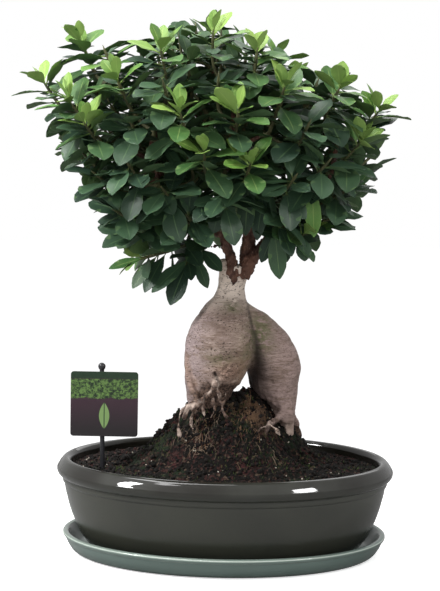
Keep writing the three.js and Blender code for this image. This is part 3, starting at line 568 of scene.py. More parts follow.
HIDDEN_ROOTS = [
    ([(-22, 12, 160), (-38, 24, 144), (-56, 36, 120)], 7, 3),
    ([(-6, 16, 170), (0, 36, 152), (4, 58, 122)], 8, 3),
    ([(62, 14, 150), (72, 30, 132), (80, 44, 108)], 6.5, 2.5),
    ([(58, -6, 146), (49, -23, 141), (40, -38, 134), (32, -52, 114)], 4.2, 1.6),
]
GRAFT_STUB = ([(-5, -4, 276), (-5.6, -5.6, 300), (-6, -6, 305.6)], [5.2, 4.7, 4.3])
LEG_SIDES, ROOT_SIDES = 64, 14


def leg(sections, phase):
    """Level ovals up a leg: x = middle + half width cos a, y = middle + half depth sin a, swollen a little."""
    height, left, right_edge, half_depth, middle = (part[:, None] for part in curve_through(sections, 6).T)
    angle = 2 * math.pi * np.arange(LEG_SIDES)[None] / LEG_SIDES
    swell = 1 + 0.035 * np.sin(3 * angle + phase + height / 40)
    x = (left + right_edge) / 2 + (right_edge - left) / 2 * swell * np.cos(angle)
    y = middle + half_depth * swell * np.sin(angle)
    return closed_skin(np.stack([x, y, np.broadcast_to(height, x.shape)], axis=-1))


def root(points, start, end):
    """A knotty root along a smooth line, thick where it leaves the trunk and thin where it enters the soil."""
    path = curve_through(points, 8)
    knots = 1 + 0.14 * ripple(path, 9, len(points))
    bent = path + 0.12 * start * ripple(path, 14, 2)[:, None]
    return tube(bent, np.linspace(start, end, len(path)) * knots, ROOT_SIDES)


trunk_parts = [leg(MAIN_BULB, 0.6), leg(RIGHT_LEG, 2.2)]
trunk_parts += [root(*given) for given in [SIDE_ROOT, *FRONT_ROOTS, *HIDDEN_ROOTS]]
trunk_parts.append(tube(*GRAFT_STUB, 20))

# %% Join the trunk


def remeshed(name, skins, cell_mm, smoothing):
    """One body from overlapping skins: a voxel remesh of this cell size, then rounds of smoothing."""
    points, faces = gather(skins)
    body = bpy.data.objects.new(name, make_mesh(name, points, faces))
    bpy.context.scene.collection.objects.link(body)
    remesh = body.modifiers.new("melt", "REMESH")
    remesh.mode = "VOXEL"
    remesh.voxel_size = cell_mm * MM
    smooth = body.modifiers.new("smooth", "SMOOTH")
    smooth.factor = 0.5
    smooth.iterations = smoothing
    mesh = bpy.data.meshes.new_from_object(body.evaluated_get(bpy.context.evaluated_depsgraph_get()))
    mesh.polygons.foreach_set("use_smooth", np.ones(len(mesh.polygons), bool))
    bpy.data.objects.remove(body)
    return mesh


def places_of(mesh):
    """The points of a mesh in millimetres."""
    places = np.empty(len(mesh.vertices) * 3, np.float32)
    mesh.vertices.foreach_get("co", places)
    return places.reshape(-1, 3).astype(float) / MM


def pushed_out(mesh, places, heights):
    """Moves each point of a mesh along its normal by its height in mm, and gives back the new places."""
    normals = np.empty(len(mesh.vertices) * 3, np.float32)
    mesh.vertex_normals.foreach_get("vector", normals)
    places = places + normals.reshape(-1, 3).astype(float) * heights[:, None]
    mesh.vertices.foreach_set("co", (places * MM).astype(np.float32).ravel())
    return places


trunk_mesh = remeshed("trunk_bark", trunk_parts, cell_mm=1.25, smoothing=4)
places = places_of(trunk_mesh)
print("trunk has", len(places), "points")

# %% [markdown]
# ### Bark relief and bark marks
#
# The bark is smooth, with shallow wrinkles that run round the legs and small raised breathing pores. The relief
# moves the points along their normals. Soft marks say where the bark is green, ochre or stained by soil, where
# painted shade darkens the cleft and the bulb's underside, where the main bulb casts a painted shadow on the right
# leg, and where painted light brightens the neck.

# %% Relief of the bark


def spot(points, centre, reach):
    """A soft spot: exp(-d^2), where d is the distance to a centre over a reach, of one length or one per axis."""
    return np.exp(-(((points - np.array(centre)) / np.array(reach)) ** 2).sum(1))


def spots(points, table):
    """Soft spots added up, each with a strength of its own."""
    return sum(strength * spot(points, centre, reach) for strength, centre, reach in table)


def near_line(points, path, reach):
    """1 on a line and soft to 0 past this reach."""
    gaps = np.stack([np.linalg.norm(points - one, axis=1) for one in curve_through(path, 5)]).min(0)
    return np.exp(-((gaps / reach) ** 4))


def soft_step(value, width):
    """1 / (1 + exp(-value / width)): 0 well below zero and 1 well above it."""
    return 1 / (1 + np.exp(-value / width))


# Each knob is its height, its middle and its reach
KNOBS = [(2.2, (-7, -40, 200), 4.6), (2.2, (3, -39, 201), 4.2), (2.2, (-2, -41, 193), 4),
         (1.9, (8, -36, 196), 3.8), (1.3, (-13, -39, 196), 3.8), (1.6, (-4, -41, 186), 3.6),
         (1.3, (5, -38, 189), 3.4)]
CLEFT = [(-12.5, -42, 193), (-10, -42, 187), (-8.5, -41, 179)]
wrinkles = ripple(places * np.array([0.3, 0.3, 1.5]), 7, 3)
lumps = ripple(places, 24, 4)
grooves = ripple(places * np.array([1.3, 1.3, 0.35]), 8, 6) * soft_step(178 - places[:, 2], 9)
gnarled_patch = spot(places, (-2, -40, 195), (13, 14, 9))
scars = gnarled_patch * ripple(places, 5, 5)
collar = spot(places, (4, -4, 296), (40, 40, 12)) * ripple(places * np.array([1, 1, 0.5]), 5, 8)

# The main bulb's right edge by height, and how far its shadow reaches past it onto the right leg
bulb_edge = np.interp(places[:, 2], [165, 184, 200, 223, 240, 256], [8, 22.5, 27.5, 27.5, 24, 20])
shade_reach = np.interp(places[:, 2], [160, 169, 186, 203, 221, 240], [37, 33, 22, 13, 6, 1.8])
past_edge = places[:, 0] - bulb_edge
on_right = soft_step(past_edge, 1.4)
# Painted shadow of the main bulb on the right leg
bulb_shadow = on_right * np.exp(-(np.abs(past_edge / shade_reach) ** 3)) * (places[:, 1] < 12)
# The cleft is pressed into the bark, and its colour takes painted shade
shaded_cleft = near_line(places, CLEFT, 2.1)

moved = 0.16 * wrinkles + 0.5 * lumps + 0.9 * grooves + 1.1 * scars + 0.8 * collar - 2.0 * shaded_cleft
moved += spots(places, KNOBS)
places = pushed_out(trunk_mesh, places, moved)
neck_points = places[places[:, 2] > 240][::7]
print("bark moved by", np.round([moved.min(), moved.max()], 1).tolist(), "mm")

# %% Marks of the bark
# Each spot is its strength, its middle and its reach along x, y and z
GREEN_SPOTS = [(1.0, (4, -24, 259), (10, 14, 6)), (1.1, (33, -8, 231), (14, 30, 26)),
               (0.8, (-6, -42, 208), (16, 20, 8)), (0.6, (10, 40, 220), (40, 20, 30)),
               (0.5, (20, -30, 206), (9, 20, 24))]
# Painted shade under the bulb's front and among the roots at its foot
STAIN_AND_SHADE_SPOTS = [(0.85, (-22, -46, 162), (26, 18, 17)), (0.8, (4, -30, 170), (14, 20, 9)),
               (0.6, (-6, -36, 175), (26, 20, 11))]
CLEAN_SPOTS = [(1, (64, -6, 130), (10, 14, 9)), (1, (46, -40, 136), (14, 12, 12))]
# Darker towards the soil line: soil stain
soil_line = 152 - 34 * np.clip((np.abs(places[:, 0] - 2) - 30) / 36, 0, 1)
stain_and_shade = np.clip(1 - (places[:, 2] - soil_line) / 22, 0, 1) + spots(places, STAIN_AND_SHADE_SPOTS)
stain_and_shade += 0.5 * (places[:, 2] < 138) * (places[:, 1] < -28) - spots(places, CLEAN_SPOTS)
pale = sum(near_line(places, points, start + 1.2) for points, start, _ in FRONT_ROOTS)
bark_marks = {
    "green": spots(places, GREEN_SPOTS),
    "ochre": 0.7 * near_line(places, SIDE_ROOT[0], 6.5) + 0.7 * spot(places, (14, -30, 192), (15, 20, 22)),
    "stain_and_shade": stain_and_shade,
    "pale": pale + spot(places, (64, -6, 128), (10, 14, 9)) + spot(places, (-6, -6, 300), (7, 8, 16)),
    "pink": spot(places, (-40, -10, 210), (26, 60, 60)) * 0.9,
    "dusky": on_right,
    "bulb_shadow": bulb_shadow,
    "shaded_cleft": shaded_cleft,
    "gnarled": gnarled_patch,
    # Painted light: the neck is made lighter where the crown shades it
    "neck": np.clip((places[:, 2] - 252) / 24, 0, 1),
}
for name, values in bark_marks.items():
    trunk_mesh.attributes.new(name, "FLOAT", "POINT").data.foreach_set("value", values.astype(np.float32))
print("marks", ", ".join(bark_marks))

# %% Bark finish


def bark_finish():
    """Grey-beige bark, pinker or duskier where marked, with fine level wrinkles, dark pores in rows and stains.
    Where marked it also takes painted shade, a painted shadow and painted light.
    """
    finish, tree, shader = start_finish("bark", 0.7, specular=0.3)
    place = object_place(tree)
    level = object_place(tree, (0.4, 0.4, 1.6))
    dusky, gnarled = mark(tree, "dusky"), mark(tree, "gnarled")
    broad = grain(tree, level, 110, detail=6, roughness=0.65)
    fine = grain(tree, level, 480, detail=6, roughness=0.75)
    swirls = grain(tree, object_place(tree, (0.3, 0.3, 2.2)), 70, 3)
    lines = between(tree, calc(tree, "ABSOLUTE", calc(tree, "SUBTRACT", swirls, 0.5)), 0.018, 0.004)
    pores = 0.0
    for scale, low, high in ((210, 0.3, 0.16), (400, 0.3, 0.18)):
        inputs = {"Vector": object_place(tree, (1, 1, 1.7)), "Scale": scale, "Randomness": 1.0}
        near = between(tree, add_node(tree, "TexVoronoi", "Distance", inputs), low, high)
        crowd = patches(tree, object_place(tree, (0.6, 0.6, 1.6)), 30 + scale / 8, 2, 0.43, 0.55)
        pores = calc(tree, "MAXIMUM", pores, times(tree, near, crowd))
    cells = {"Vector": object_place(tree, (1, 1, 1.3)), "Scale": 260, "Randomness": 1.0}
    cracks = between(tree, add_node(tree, "TexVoronoi", "Distance", cells, feature="DISTANCE_TO_EDGE"), 0.1, 0.02)
    bright = calc(tree, "SUBTRACT", 0.7, times(tree, dusky, 0.5))
    fewer = calc(tree, "SUBTRACT", 0.85, times(tree, dusky, 0.5))
    patchy = patches(tree, object_place(tree, (0.8, 0.8, 1.3)), 150, 6, 0.38, 0.52, 0.7)
    greener = times(tree, mark(tree, "green"), patchy, clamp=True)
    tanned = times(tree, mark(tree, "ochre"), patches(tree, place, 90, 4, 0.3, 0.5), clamp=True)
    rooty = times(tree, mark(tree, "pale"), patches(tree, place, 130, 3, 0.3, 0.6), clamp=True)
    dirt_and_shade = calc(tree, "SUBTRACT", times(tree, mark(tree, "stain_and_shade"), 1.15), grain(tree, place, 150, 6, 0.65))
    ground = mixed(tree, patches(tree, place, 30, 5, 0.35, 0.68), paint(122, 104, 96), paint(149, 131, 118))
    earthy = mixed(tree, patches(tree, place, 420, 4, 0.4, 0.6), paint(44, 33, 28), paint(92, 73, 62))
    colour = layered(tree, ground, [
        (mark(tree, "pink"), paint(144, 129, 130)),
        (times(tree, dusky, 0.85), paint(140, 120, 115)),
        (between(tree, broad, 0.48, 0.66), paint(112, 94, 84)),
        (times(tree, between(tree, fine, 0.5, 0.66), 0.9), paint(88, 70, 60)),
        (times(tree, between(tree, fine, 0.46, 0.3), bright), paint(180, 163, 152)),
        # Painted light on the neck, which the crown shades
        (times(tree, mark(tree, "neck"), 0.85), paint(230, 214, 200)),
        (times(tree, greener, 0.85), paint(80, 82, 50)),
        (times(tree, tanned, 0.6), paint(128, 98, 74)),
        (times(tree, rooty, 0.7), paint(172, 154, 140)),
        (times(tree, lines, 0.45), paint(104, 86, 76)),
        (times(tree, pores, fewer), paint(52, 40, 32)),
        (times(tree, gnarled, 0.4), paint(140, 108, 90)),
        (times(tree, times(tree, cracks, gnarled), 0.8), paint(62, 44, 36)),
        # Painted shadow of the main bulb on the right leg
        (times(tree, mark(tree, "bulb_shadow"), 0.96), paint(24, 17, 15)),
        # Painted shade in the cleft
        (mark(tree, "shaded_cleft"), paint(30, 20, 16)),
        # Soil stain, with painted shade under the bulb's front and among its roots
        (between(tree, dirt_and_shade, -0.1, 0.3), earthy),
        (times(tree, rooty, patches(tree, place, 95, 4, 0.44, 0.6)), paint(178, 160, 148)),
    ])
    tree.links.new(colour, shader.inputs["Base Color"])
    height = calc(tree, "ADD", times(tree, fine, 0.6), times(tree, broad, 0.8))
    height = calc(tree, "SUBTRACT", height, times(tree, calc(tree, "MAXIMUM", pores, lines), 0.35))
    relief(tree, shader, height, 1.1, strength=0.8)
    return finish


add_piece("trunk_bark", trunk_mesh, bark_finish(), ["trunk"])

# %% [markdown]
# ## Soil
#
# Dark peat fills the pot and is heaped up round the roots. Its surface is a fine grid with crumbs pressed into
# the relief, loose crumbs lie on it, pale and orange fibres run over the mound, and moss grows where it is damp.

# %% Soil surface
rng = np.random.default_rng(7)
SOIL_LEVEL, SOIL_EDGE = 89.0, 158.1
PEAT_WALL = [(0.5, 14.3), (60, 14.3), (129.6, 14.3), (141, 22.3), (151.1, 48), (SOIL_EDGE, SOIL_LEVEL - 3)]


def bell(distance, radius, power=2):
    """exp(-(d / r)^p): 1 in the middle and near 0 past the radius."""
    return np.exp(-((distance / radius) ** power))


def soil_height(x, y):
    """The pot's level, a mound under the roots, a hump between them, a dip in front at the right, low lumps."""
    mound = 69 * bell(np.hypot(x - 4, y / 0.85), 80, 3.6) + 10 * bell(np.hypot(x - 26, y - 12), 19)
    dip = 25 * bell(np.hypot(x - 66, y + 23), 22)
    lumps = 1.6 * np.sin(x / 9) * np.cos(y / 8) + 1.2 * np.sin(x / 17 + y / 13)
    return SOIL_LEVEL + mound - dip + lumps * bell(np.hypot(x, y), 140, 6)


def crumbled_height(x, y):
    """The soil's height with crumbs: ripples of three sizes, coarse and deep on the mound and fine beside it."""
    flat = np.stack([x.ravel(), y.ravel()], axis=1)
    steep = bell(np.hypot(x - 4, y / 0.85), 92, 4)
    coarse = ripple(flat, 13, 11).reshape(x.shape)
    middle = ripple(flat, 6, 12).reshape(x.shape)
    fine = ripple(flat, 2.8, 13).reshape(x.shape)
    hollow = 8 * bell(np.hypot(x - 12, y + 28), 7) + 4 * bell(np.hypot(x + 14, y + 62), 9)
    return soil_height(x, y) + (0.4 + 2.2 * steep) * coarse + (0.4 + 1.3 * steep) * middle + 0.5 * fine - hollow


SOIL_RINGS, SOIL_COLUMNS = 130, 384
radii = np.concatenate([[r for r, _ in PEAT_WALL], np.linspace(SOIL_EDGE, 1, SOIL_RINGS)])
angle = 2 * math.pi * np.arange(SOIL_COLUMNS)[None] / SOIL_COLUMNS
soil_x = radii[:, None] * np.cos(angle)
soil_y = oval_half_width(radii)[:, None] * np.sin(angle)
soil_z = crumbled_height(soil_x, soil_y)
soil_z[: len(PEAT_WALL)] = np.array([z for _, z in PEAT_WALL])[:, None]
soil_points, soil_faces = closed_skin(np.stack([soil_x, soil_y, soil_z], axis=-1))
print("soil has", len(soil_points), "points")


def peat_finish():
    """Near-black peat with brown and pale crumbs, green damp patches, ruddy ones, and coir where marked."""
    finish, tree, shader = start_finish("peat", 0.9, specular=0.2)
    place = object_place(tree)
    cells = {"Vector": place, "Scale": 420}
    crumb = add_node(tree, "SeparateColor", 0, {"Color": add_node(tree, "TexVoronoi", "Color", cells)})
    damp = times(tree, patches(tree, place, 22, 3, 0.5, 0.62), patches(tree, place, 240, 3, 0.35, 0.6))
    ruddy = times(tree, patches(tree, object_place(tree, (1, 1.3, 1)), 26, 3, 0.54, 0.64),
                  patches(tree, place, 300, 4, 0.45, 0.62))
    ground = mixed(tree, patches(tree, place, 320, 6, 0.38, 0.66, 0.7), paint(5, 4, 3), paint(16, 12, 9))
    colour = layered(tree, ground, [
        (between(tree, crumb, 0.8, 0.86), paint(46, 27, 24)),
        (between(tree, crumb, 0.08, 0.04), paint(66, 54, 44)),
        (times(tree, damp, 0.9), paint(22, 33, 19)),
        (times(tree, ruddy, 0.8), paint(54, 24, 24)),
        (times(tree, mark(tree, "coir"), patches(tree, place, 260, 5, 0.3, 0.6, 0.7)), paint(98, 76, 60)),
    ])
    tree.links.new(colour, shader.inputs["Base Color"])
    gaps = add_node(tree, "TexVoronoi", "Distance", cells)
    relief(tree, shader, calc(tree, "ADD", gaps, grain(tree, place, 700, 4)), 1.4, strength=1.0)
    return finish


coir = bell(np.hypot((soil_points[:, 0] - 24) / 1.6, soil_points[:, 1] + 26), 15, 4)
coir *= 1 - bell(np.hypot(soil_points[:, 0] - 12, soil_points[:, 1] + 28), 7, 4)
add_piece("peat", make_mesh("peat", soil_points, soil_faces, {"coir": coir}), peat_finish(), ["soil"])

# %% Crumbs
golden = (1 + math.sqrt(5)) / 2
BALL_POINTS = unit(np.array([[-1, golden, 0], [1, golden, 0], [-1, -golden, 0], [1, -golden, 0],
                             [0, -1, golden], [0, 1, golden], [0, -1, -golden], [0, 1, -golden],
                             [golden, 0, -1], [golden, 0, 1], [-golden, 0, -1], [-golden, 0, 1]]))
BALL_FACES = np.array([[0, 11, 5], [0, 5, 1], [0, 1, 7], [0, 7, 10], [0, 10, 11], [1, 5, 9], [5, 11, 4],
                       [11, 10, 2], [10, 7, 6], [7, 1, 8], [3, 9, 4], [3, 4, 2], [3, 2, 6], [3, 6, 8],
                       [3, 8, 9], [4, 9, 5], [2, 4, 11], [6, 2, 10], [8, 6, 7], [9, 8, 1]])


def scattered(count, spread, limit=0.955):
    """Places on the soil: half over the whole oval, the rest crowded on the mound by a bell of this spread."""
    turn = rng.uniform(0, 2 * math.pi, count)
    wide = SOIL_EDGE * limit * np.sqrt(rng.random(count))
    heaped = np.abs(rng.normal(0, spread, count))
    reach = np.where(rng.random(count) < 0.5, wide, np.minimum(heaped, SOIL_EDGE * limit))
    x, y = reach * np.cos(turn), oval_half_width(reach) * np.sin(turn)
    return np.stack([x, y, crumbled_height(x, y)], axis=1)


def crumbs(count, small, large, spread):
    """Loose crumbs: a rough ball for each, squashed and turned at random, sunk a third into the soil."""
    middle = scattered(count, spread)
    size = rng.uniform(small, large, (count, 1, 1)) * rng.uniform(0.6, 1.25, (count, 1, 3))
    rough = BALL_POINTS[None] * (1 + rng.uniform(-0.25, 0.25, (count, 12, 1)))
    turns = np.linalg.qr(rng.normal(size=(count, 3, 3)))[0]
    turns *= np.linalg.det(turns)[:, None, None]
    body = (rough * size) @ turns
    body += (middle + np.stack([np.zeros(count), np.zeros(count), 0.3 * size[:, 0, 2]], axis=1))[:, None]
    return body.reshape(-1, 3)


def crumb_finish(name, dark, light, roughness=0.9):
    """Each crumb keeps one tint between two, roughened by fine grain."""
    finish, tree, shader = start_finish(name, roughness, specular=0.25)
    place = object_place(tree)
    fine = grain(tree, place, 900, 4, 0.7)
    colour = layered(tree, dark, [(mark(tree, "chance"), light), (times(tree, fine, 0.5), dark)])
    tree.links.new(colour, shader.inputs["Base Color"])
    relief(tree, shader, fine, 0.5, strength=0.8)
    return finish


# Each kind is its name, how many, smallest and largest half size, spread, dark and light colour
CRUMB_KINDS = [
    ("dark_crumbs", 2300, 0.9, 2.6, 62, paint(8, 7, 6), paint(25, 20, 17)),
    ("red_crumbs", 260, 0.8, 2.0, 58, paint(32, 19, 18), paint(56, 32, 29)),
    ("pale_crumbs", 110, 0.5, 1.1, 70, paint(150, 142, 130), paint(214, 208, 196)),
]
for name, count, small, large, spread, dark, light in CRUMB_KINDS:
    points = crumbs(count, small, large, spread)
    marks = {"chance": np.repeat(rng.random(count) ** 1.6, len(BALL_POINTS))}
    mesh = make_mesh(name, points, repeated(len(BALL_POINTS), [BALL_FACES], count), marks)
    add_piece(name, mesh, crumb_finish(name, dark, light))

# %% Fibres and moss


def fibre(start, turn, length, radius, lift):
    """A fine root that wanders over the soil and stands off it a little in the middle."""
    steps = np.linspace(0, 1, 7)
    bend = turn + rng.normal(0, 0.5, 7).cumsum() * 0.6
    x = start[0] + np.cumsum(np.cos(bend)) * length / 7
    y = start[1] + np.cumsum(np.sin(bend)) * length / 7
    z = crumbled_height(x, y) + radius * 0.6 + lift * np.sin(math.pi * steps)
    line = curve_through(np.stack([x, y, z], axis=1), 3)
    return tube(line, radius * (1 - 0.6 * np.linspace(0, 1, len(line))), 5)


def fibres(count, middle, spread, lengths, radii, lift):
    """A bunch of fibres that start round a place."""
    return gather([fibre(np.array(middle) + rng.normal(0, spread, 2), rng.uniform(0, 2 * math.pi),
                         rng.uniform(*lengths), rng.uniform(*radii), lift * rng.random()) for _ in range(count)])


# A bunch is how many, its middle, its spread, the range of lengths and of radii, and how high a fibre lifts
FIBRE_KINDS = [
    ("orange_fibres", [(260, (26, -28), 10, (4, 9), (0.22, 0.4), 4), (24, (-22, -50), 10, (4, 9), (0.18, 0.3), 3),
                       (20, (8, -46), 12, (3, 7), (0.14, 0.26), 2)], paint(58, 43, 33), paint(128, 98, 72)),
    ("pale_rootlets", [(70, (-28, -50), 11, (3, 9), (0.2, 0.45), 3), (18, (40, -62), 9, (3, 9), (0.18, 0.4), 2),
                       (16, (0, 0), 56, (3, 8), (0.14, 0.26), 2)], paint(62, 50, 42), paint(136, 118, 100)),
]
for name, bunches, dark, light in FIBRE_KINDS:
    points, faces = gather([fibres(*bunch) for bunch in bunches])
    marks = {"chance": ripple(points, 30, 21) * 0.4 + 0.5}
    add_piece(name, make_mesh(name, points, faces, marks), crumb_finish(name, dark, light, 0.75))

moss_place = scattered(5200, 55, 0.9)
mossy = 1.2 * bell(np.hypot(moss_place[:, 0] - 30, moss_place[:, 1] + 62), 34)
moss_place = moss_place[ripple(moss_place[:, :2], 30, 31) + mossy > 0.55]
count = len(moss_place)
turn = rng.uniform(0, 2 * math.pi, (count, 1)) + 2 * math.pi * np.arange(3) / 3
width, height = rng.uniform(0.25, 0.5, (count, 1)), rng.uniform(1.4, 3.6, (count, 1))
foot = moss_place[:, None] + np.stack([width * np.cos(turn), width * np.sin(turn), 0 * turn - 0.4], axis=-1)
tip = moss_place + np.concatenate([rng.normal(0, 0.8, (count, 2)), height], axis=1)
moss_points = np.concatenate([foot, tip[:, None]], axis=1).reshape(-1, 3)
SPIKE_FACES = np.array([[0, 1, 3], [1, 2, 3], [2, 0, 3], [0, 2, 1]])
marks = {"chance": np.repeat(rng.random(count), 4)}
moss_mesh = make_mesh("moss", moss_points, repeated(4, [SPIKE_FACES], count), marks)
add_piece("moss", moss_mesh, crumb_finish("moss", paint(30, 42, 20), paint(74, 92, 40), 0.8))
print("moss blades", count)

# %% [markdown]
# ## Label, stake and drain screens
#
# The label is a printed plastic card in front of a black stake with a ball on top. Its print here is plain: a
# dark green strip, a band of foliage and one pale leaf on plum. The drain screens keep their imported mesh.

# %% Label and stake
CARD_WIDTH, CARD_HEIGHT, CARD_CORNER = 69.0, 67.0, 3.0
CARD_MIDDLE = np.array([-125.0, -29.2, 157.5])

# The print, in metres from the card's middle: the strip's and the band's lower edge, and the pale leaf
STRIP_FOOT, BAND_FOOT = 0.0262, 0.0105
PRINT_LEAF_MIDDLE, PRINT_LEAF_HALF_LENGTH, PRINT_LEAF_HALF_WIDTH = -0.012, 0.014, 0.0055


def card_rim(inset, depth):
    """The card's outline with round corners, seen from the front: straight sides and four quarter circles."""
    turn = np.linspace(0, math.pi / 2, 7)
    corner = CARD_CORNER - inset
    quarters = []
    for k, (right_side, top_side) in enumerate([(1, 1), (-1, 1), (-1, -1), (1, -1)]):
        x = right_side * (CARD_WIDTH / 2 - CARD_CORNER) + corner * np.cos(turn + k * math.pi / 2)
        z = top_side * (CARD_HEIGHT / 2 - CARD_CORNER) + corner * np.sin(turn + k * math.pi / 2)
        quarters.append(np.stack([x, np.full(7, depth), z], axis=1))
    return np.concatenate(quarters) + CARD_MIDDLE


card_points, card_faces = closed_skin(np.stack([card_rim(0.3, 0.5), card_rim(0, 0.3), card_rim(0, -0.3),
                                                card_rim(0.3, -0.5)]))


def card_finish():
    """A printed card: green strip on top, foliage band, plum below with a pale leaf shape, and satin gloss."""
    finish, tree, shader = start_finish("card_print", 0.32, specular=0.5)
    place = object_place(tree)
    x = calc(tree, "SUBTRACT", add_node(tree, "SeparateXYZ", "X", {"Vector": place}), CARD_MIDDLE[0] * MM)
    z = calc(tree, "SUBTRACT", add_node(tree, "SeparateXYZ", "Z", {"Vector": place}), CARD_MIDDLE[2] * MM)
    plum = mixed(tree, between(tree, z, -0.034, 0.01), paint(22, 18, 20), paint(46, 27, 37))
    leafy = mixed(tree, patches(tree, place, 420, 4, 0.4, 0.62, 0.7), paint(14, 30, 15), paint(84, 112, 56))
    ragged = calc(tree, "ADD", z, times(tree, grain(tree, place, 160, 4), 0.01))
    band = times(tree, between(tree, ragged, BAND_FOOT, BAND_FOOT + 0.001),
                 between(tree, z, STRIP_FOOT, STRIP_FOOT - 0.0004))
    along = times(tree, calc(tree, "ADD", z, -PRINT_LEAF_MIDDLE), 1 / PRINT_LEAF_HALF_LENGTH)
    bow = times(tree, calc(tree, "SUBTRACT", 1.0, times(tree, along, along)), PRINT_LEAF_HALF_WIDTH)
    aside = calc(tree, "ABSOLUTE", x)
    on_leaf = between(tree, calc(tree, "SUBTRACT", bow, aside), 0.0, 0.0004)
    colour = layered(tree, plum, [
        (band, leafy),
        (between(tree, z, STRIP_FOOT, STRIP_FOOT + 0.0004), paint(22, 42, 24)),
        (on_leaf, paint(104, 130, 78)),
        (times(tree, between(tree, aside, 0.0007, 0.0004), on_leaf), paint(40, 60, 34)),
    ])
    front = between(tree, add_node(tree, "SeparateXYZ", "Y", {"Vector": place}), -0.0291, -0.0293)
    tree.links.new(mixed(tree, front, paint(36, 32, 34), colour), shader.inputs["Base Color"])
    relief(tree, shader, grain(tree, place, 60, 2), 0.4, strength=0.2)
    return finish


card_mesh = make_mesh("printed_card", card_points, card_faces)
card_mesh.polygons.foreach_set("use_smooth", np.zeros(len(card_mesh.polygons), bool))
add_piece("printed_card", card_mesh, card_finish(), ["label_card"])

STAKE_X, STAKE_Y, STAKE_FOOT, STAKE_TOP, STAKE_LEAN = -125, -26.0, 59.0, 196.0, math.radians(0.9)
rise = np.array([STAKE_FOOT, STAKE_FOOT + 12, 120, 180, STAKE_TOP - 4, STAKE_TOP - 3.4, STAKE_TOP - 2,
                 STAKE_TOP, STAKE_TOP + 2, STAKE_TOP + 3.4, STAKE_TOP + 3.85])
thick = np.array([0.8, 2.4, 2.4, 2.4, 2.3, 2.4, 3.35, 3.9, 3.35, 1.9, 0.4])
line = np.stack([STAKE_X - rise * math.sin(STAKE_LEAN), np.full(len(rise), STAKE_Y),
                 rise * math.cos(STAKE_LEAN)], axis=1)
stake_points, stake_faces = tube(line, thick, 24)


def plastic_finish(name, colour, roughness):
    """Moulded plastic: one colour, faintly clouded, with the fine orange-peel of the mould."""
    finish, tree, shader = start_finish(name, roughness)
    place = object_place(tree)
    lighter = tuple(min(1.0, part * 1.6) for part in colour[:3]) + (1.0,)
    tree.links.new(mixed(tree, grain(tree, place, 200, 4), colour, lighter), shader.inputs["Base Color"])
    relief(tree, shader, grain(tree, place, 1500, 2), 0.1, strength=0.4)
    return finish


stake_plastic = plastic_finish("stake_plastic", paint(22, 22, 25), 0.4)
add_piece("ball_stake", make_mesh("ball_stake", stake_points, stake_faces), stake_plastic,
          ["label_stake"])
screen_plastic = plastic_finish("screen_plastic", paint(34, 38, 36), 0.55)
for name in ("drain_screen_left", "drain_screen_right"):
    nodes[name].data.materials.clear()
    nodes[name].data.materials.append(screen_plastic)

# %% [markdown]
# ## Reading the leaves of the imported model
#
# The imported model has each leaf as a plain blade: two four-cornered stations and a pointed tip. The fine leaves
# have to grow exactly there, so each blade's midrib is read back from its corners. It is the parabola
# p(s) = root + s a + s^2 b, and three known points on it give root, a and b.

# %% Leaf reader
STATIONS = np.array([0.45, 0.78, 1.0])
WIDEST_SHARE = 0.95

# How far apart the top and the bottom of a packed midrib may lie next to the tip
RIB_GAPS = (1.2, 1.6)


def merged_node(name):
    """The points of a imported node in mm, those at one place taken as one, and which are joined by an edge."""
    mesh = nodes[name].data
    corners = np.empty(len(mesh.loops), np.int32)
    mesh.loops.foreach_get("vertex_index", corners)
    points, number = np.unique(np.round(places_of(mesh), 2), axis=0, return_inverse=True)
    triangles = number.ravel()[corners].reshape(-1, 3)
    beside = np.zeros((len(points), len(points)), bool)
    for k in range(3):
        a, b = triangles[:, k], triangles[:, (k + 1) % 3]
        beside[a, b] = beside[b, a] = True
    return points, beside


def nearest_pair(points):
    """The two points that lie nearest to each other, by number, and the space between them."""
    gaps = np.linalg.norm(points[:, None] - points, axis=-1) + 99 * np.eye(len(points))
    return np.array(np.unravel_index(gaps.argmin(), gaps.shape)), gaps.min()


def read_blades(name):
    """Root, way, face, length, droop and half width of each blade of a node, and its points of no blade.

    A tip is a point with four neighbours, and the nearest two of those are the top and bottom of the midrib."""
    points, beside = merged_node(name)
    free = np.ones(len(points), bool)
    blades = []
    for tip in np.flatnonzero(beside.sum(1) == 4):
        outer = np.flatnonzero(beside[tip])
        rib, gap = nearest_pair(points[outer])
        edge = np.setdiff1d(np.arange(4), rib)
        inner = np.setdiff1d(np.flatnonzero(beside[outer[rib]].any(0)), np.append(outer, tip))
        if not RIB_GAPS[0] < gap < RIB_GAPS[1] or len(inner) < 2:
            continue
        inner_rib = nearest_pair(points[inner])[0]
        middle = points[outer[rib]].mean(0)
        station_points = np.stack([points[inner[inner_rib]].mean(0), middle, points[tip]])
        powers = np.stack([STATIONS**0, STATIONS, STATIONS**2], axis=1)
        root_place, way, bend = np.linalg.solve(powers, station_points)
        length = np.linalg.norm(way)
        face = unit(points[outer[rib[0]]] - points[outer[rib[1]]])
        face = face * np.sign(face @ (points[outer[edge]].mean(0) - middle))
        half_width = np.linalg.norm(points[outer[edge[0]]] - points[outer[edge[1]]]) / 2 / WIDEST_SHARE
        if abs(way @ face) < 0.15 * length and 0.2 < half_width / length < 0.3:
            blades.append([*root_place, *(way / length), *face, length, -(bend @ face) / length, half_width])
            free[np.concatenate([[tip], outer, inner])] = False
    return np.array(blades), points[free], beside[free][:, free]


packed = {name: read_blades(name) for name in spray_names + young_names}
print("old leaves", sum(len(packed[name][0]) for name in spray_names))
print("young leaves", sum(len(packed[name][0]) for name in young_names))

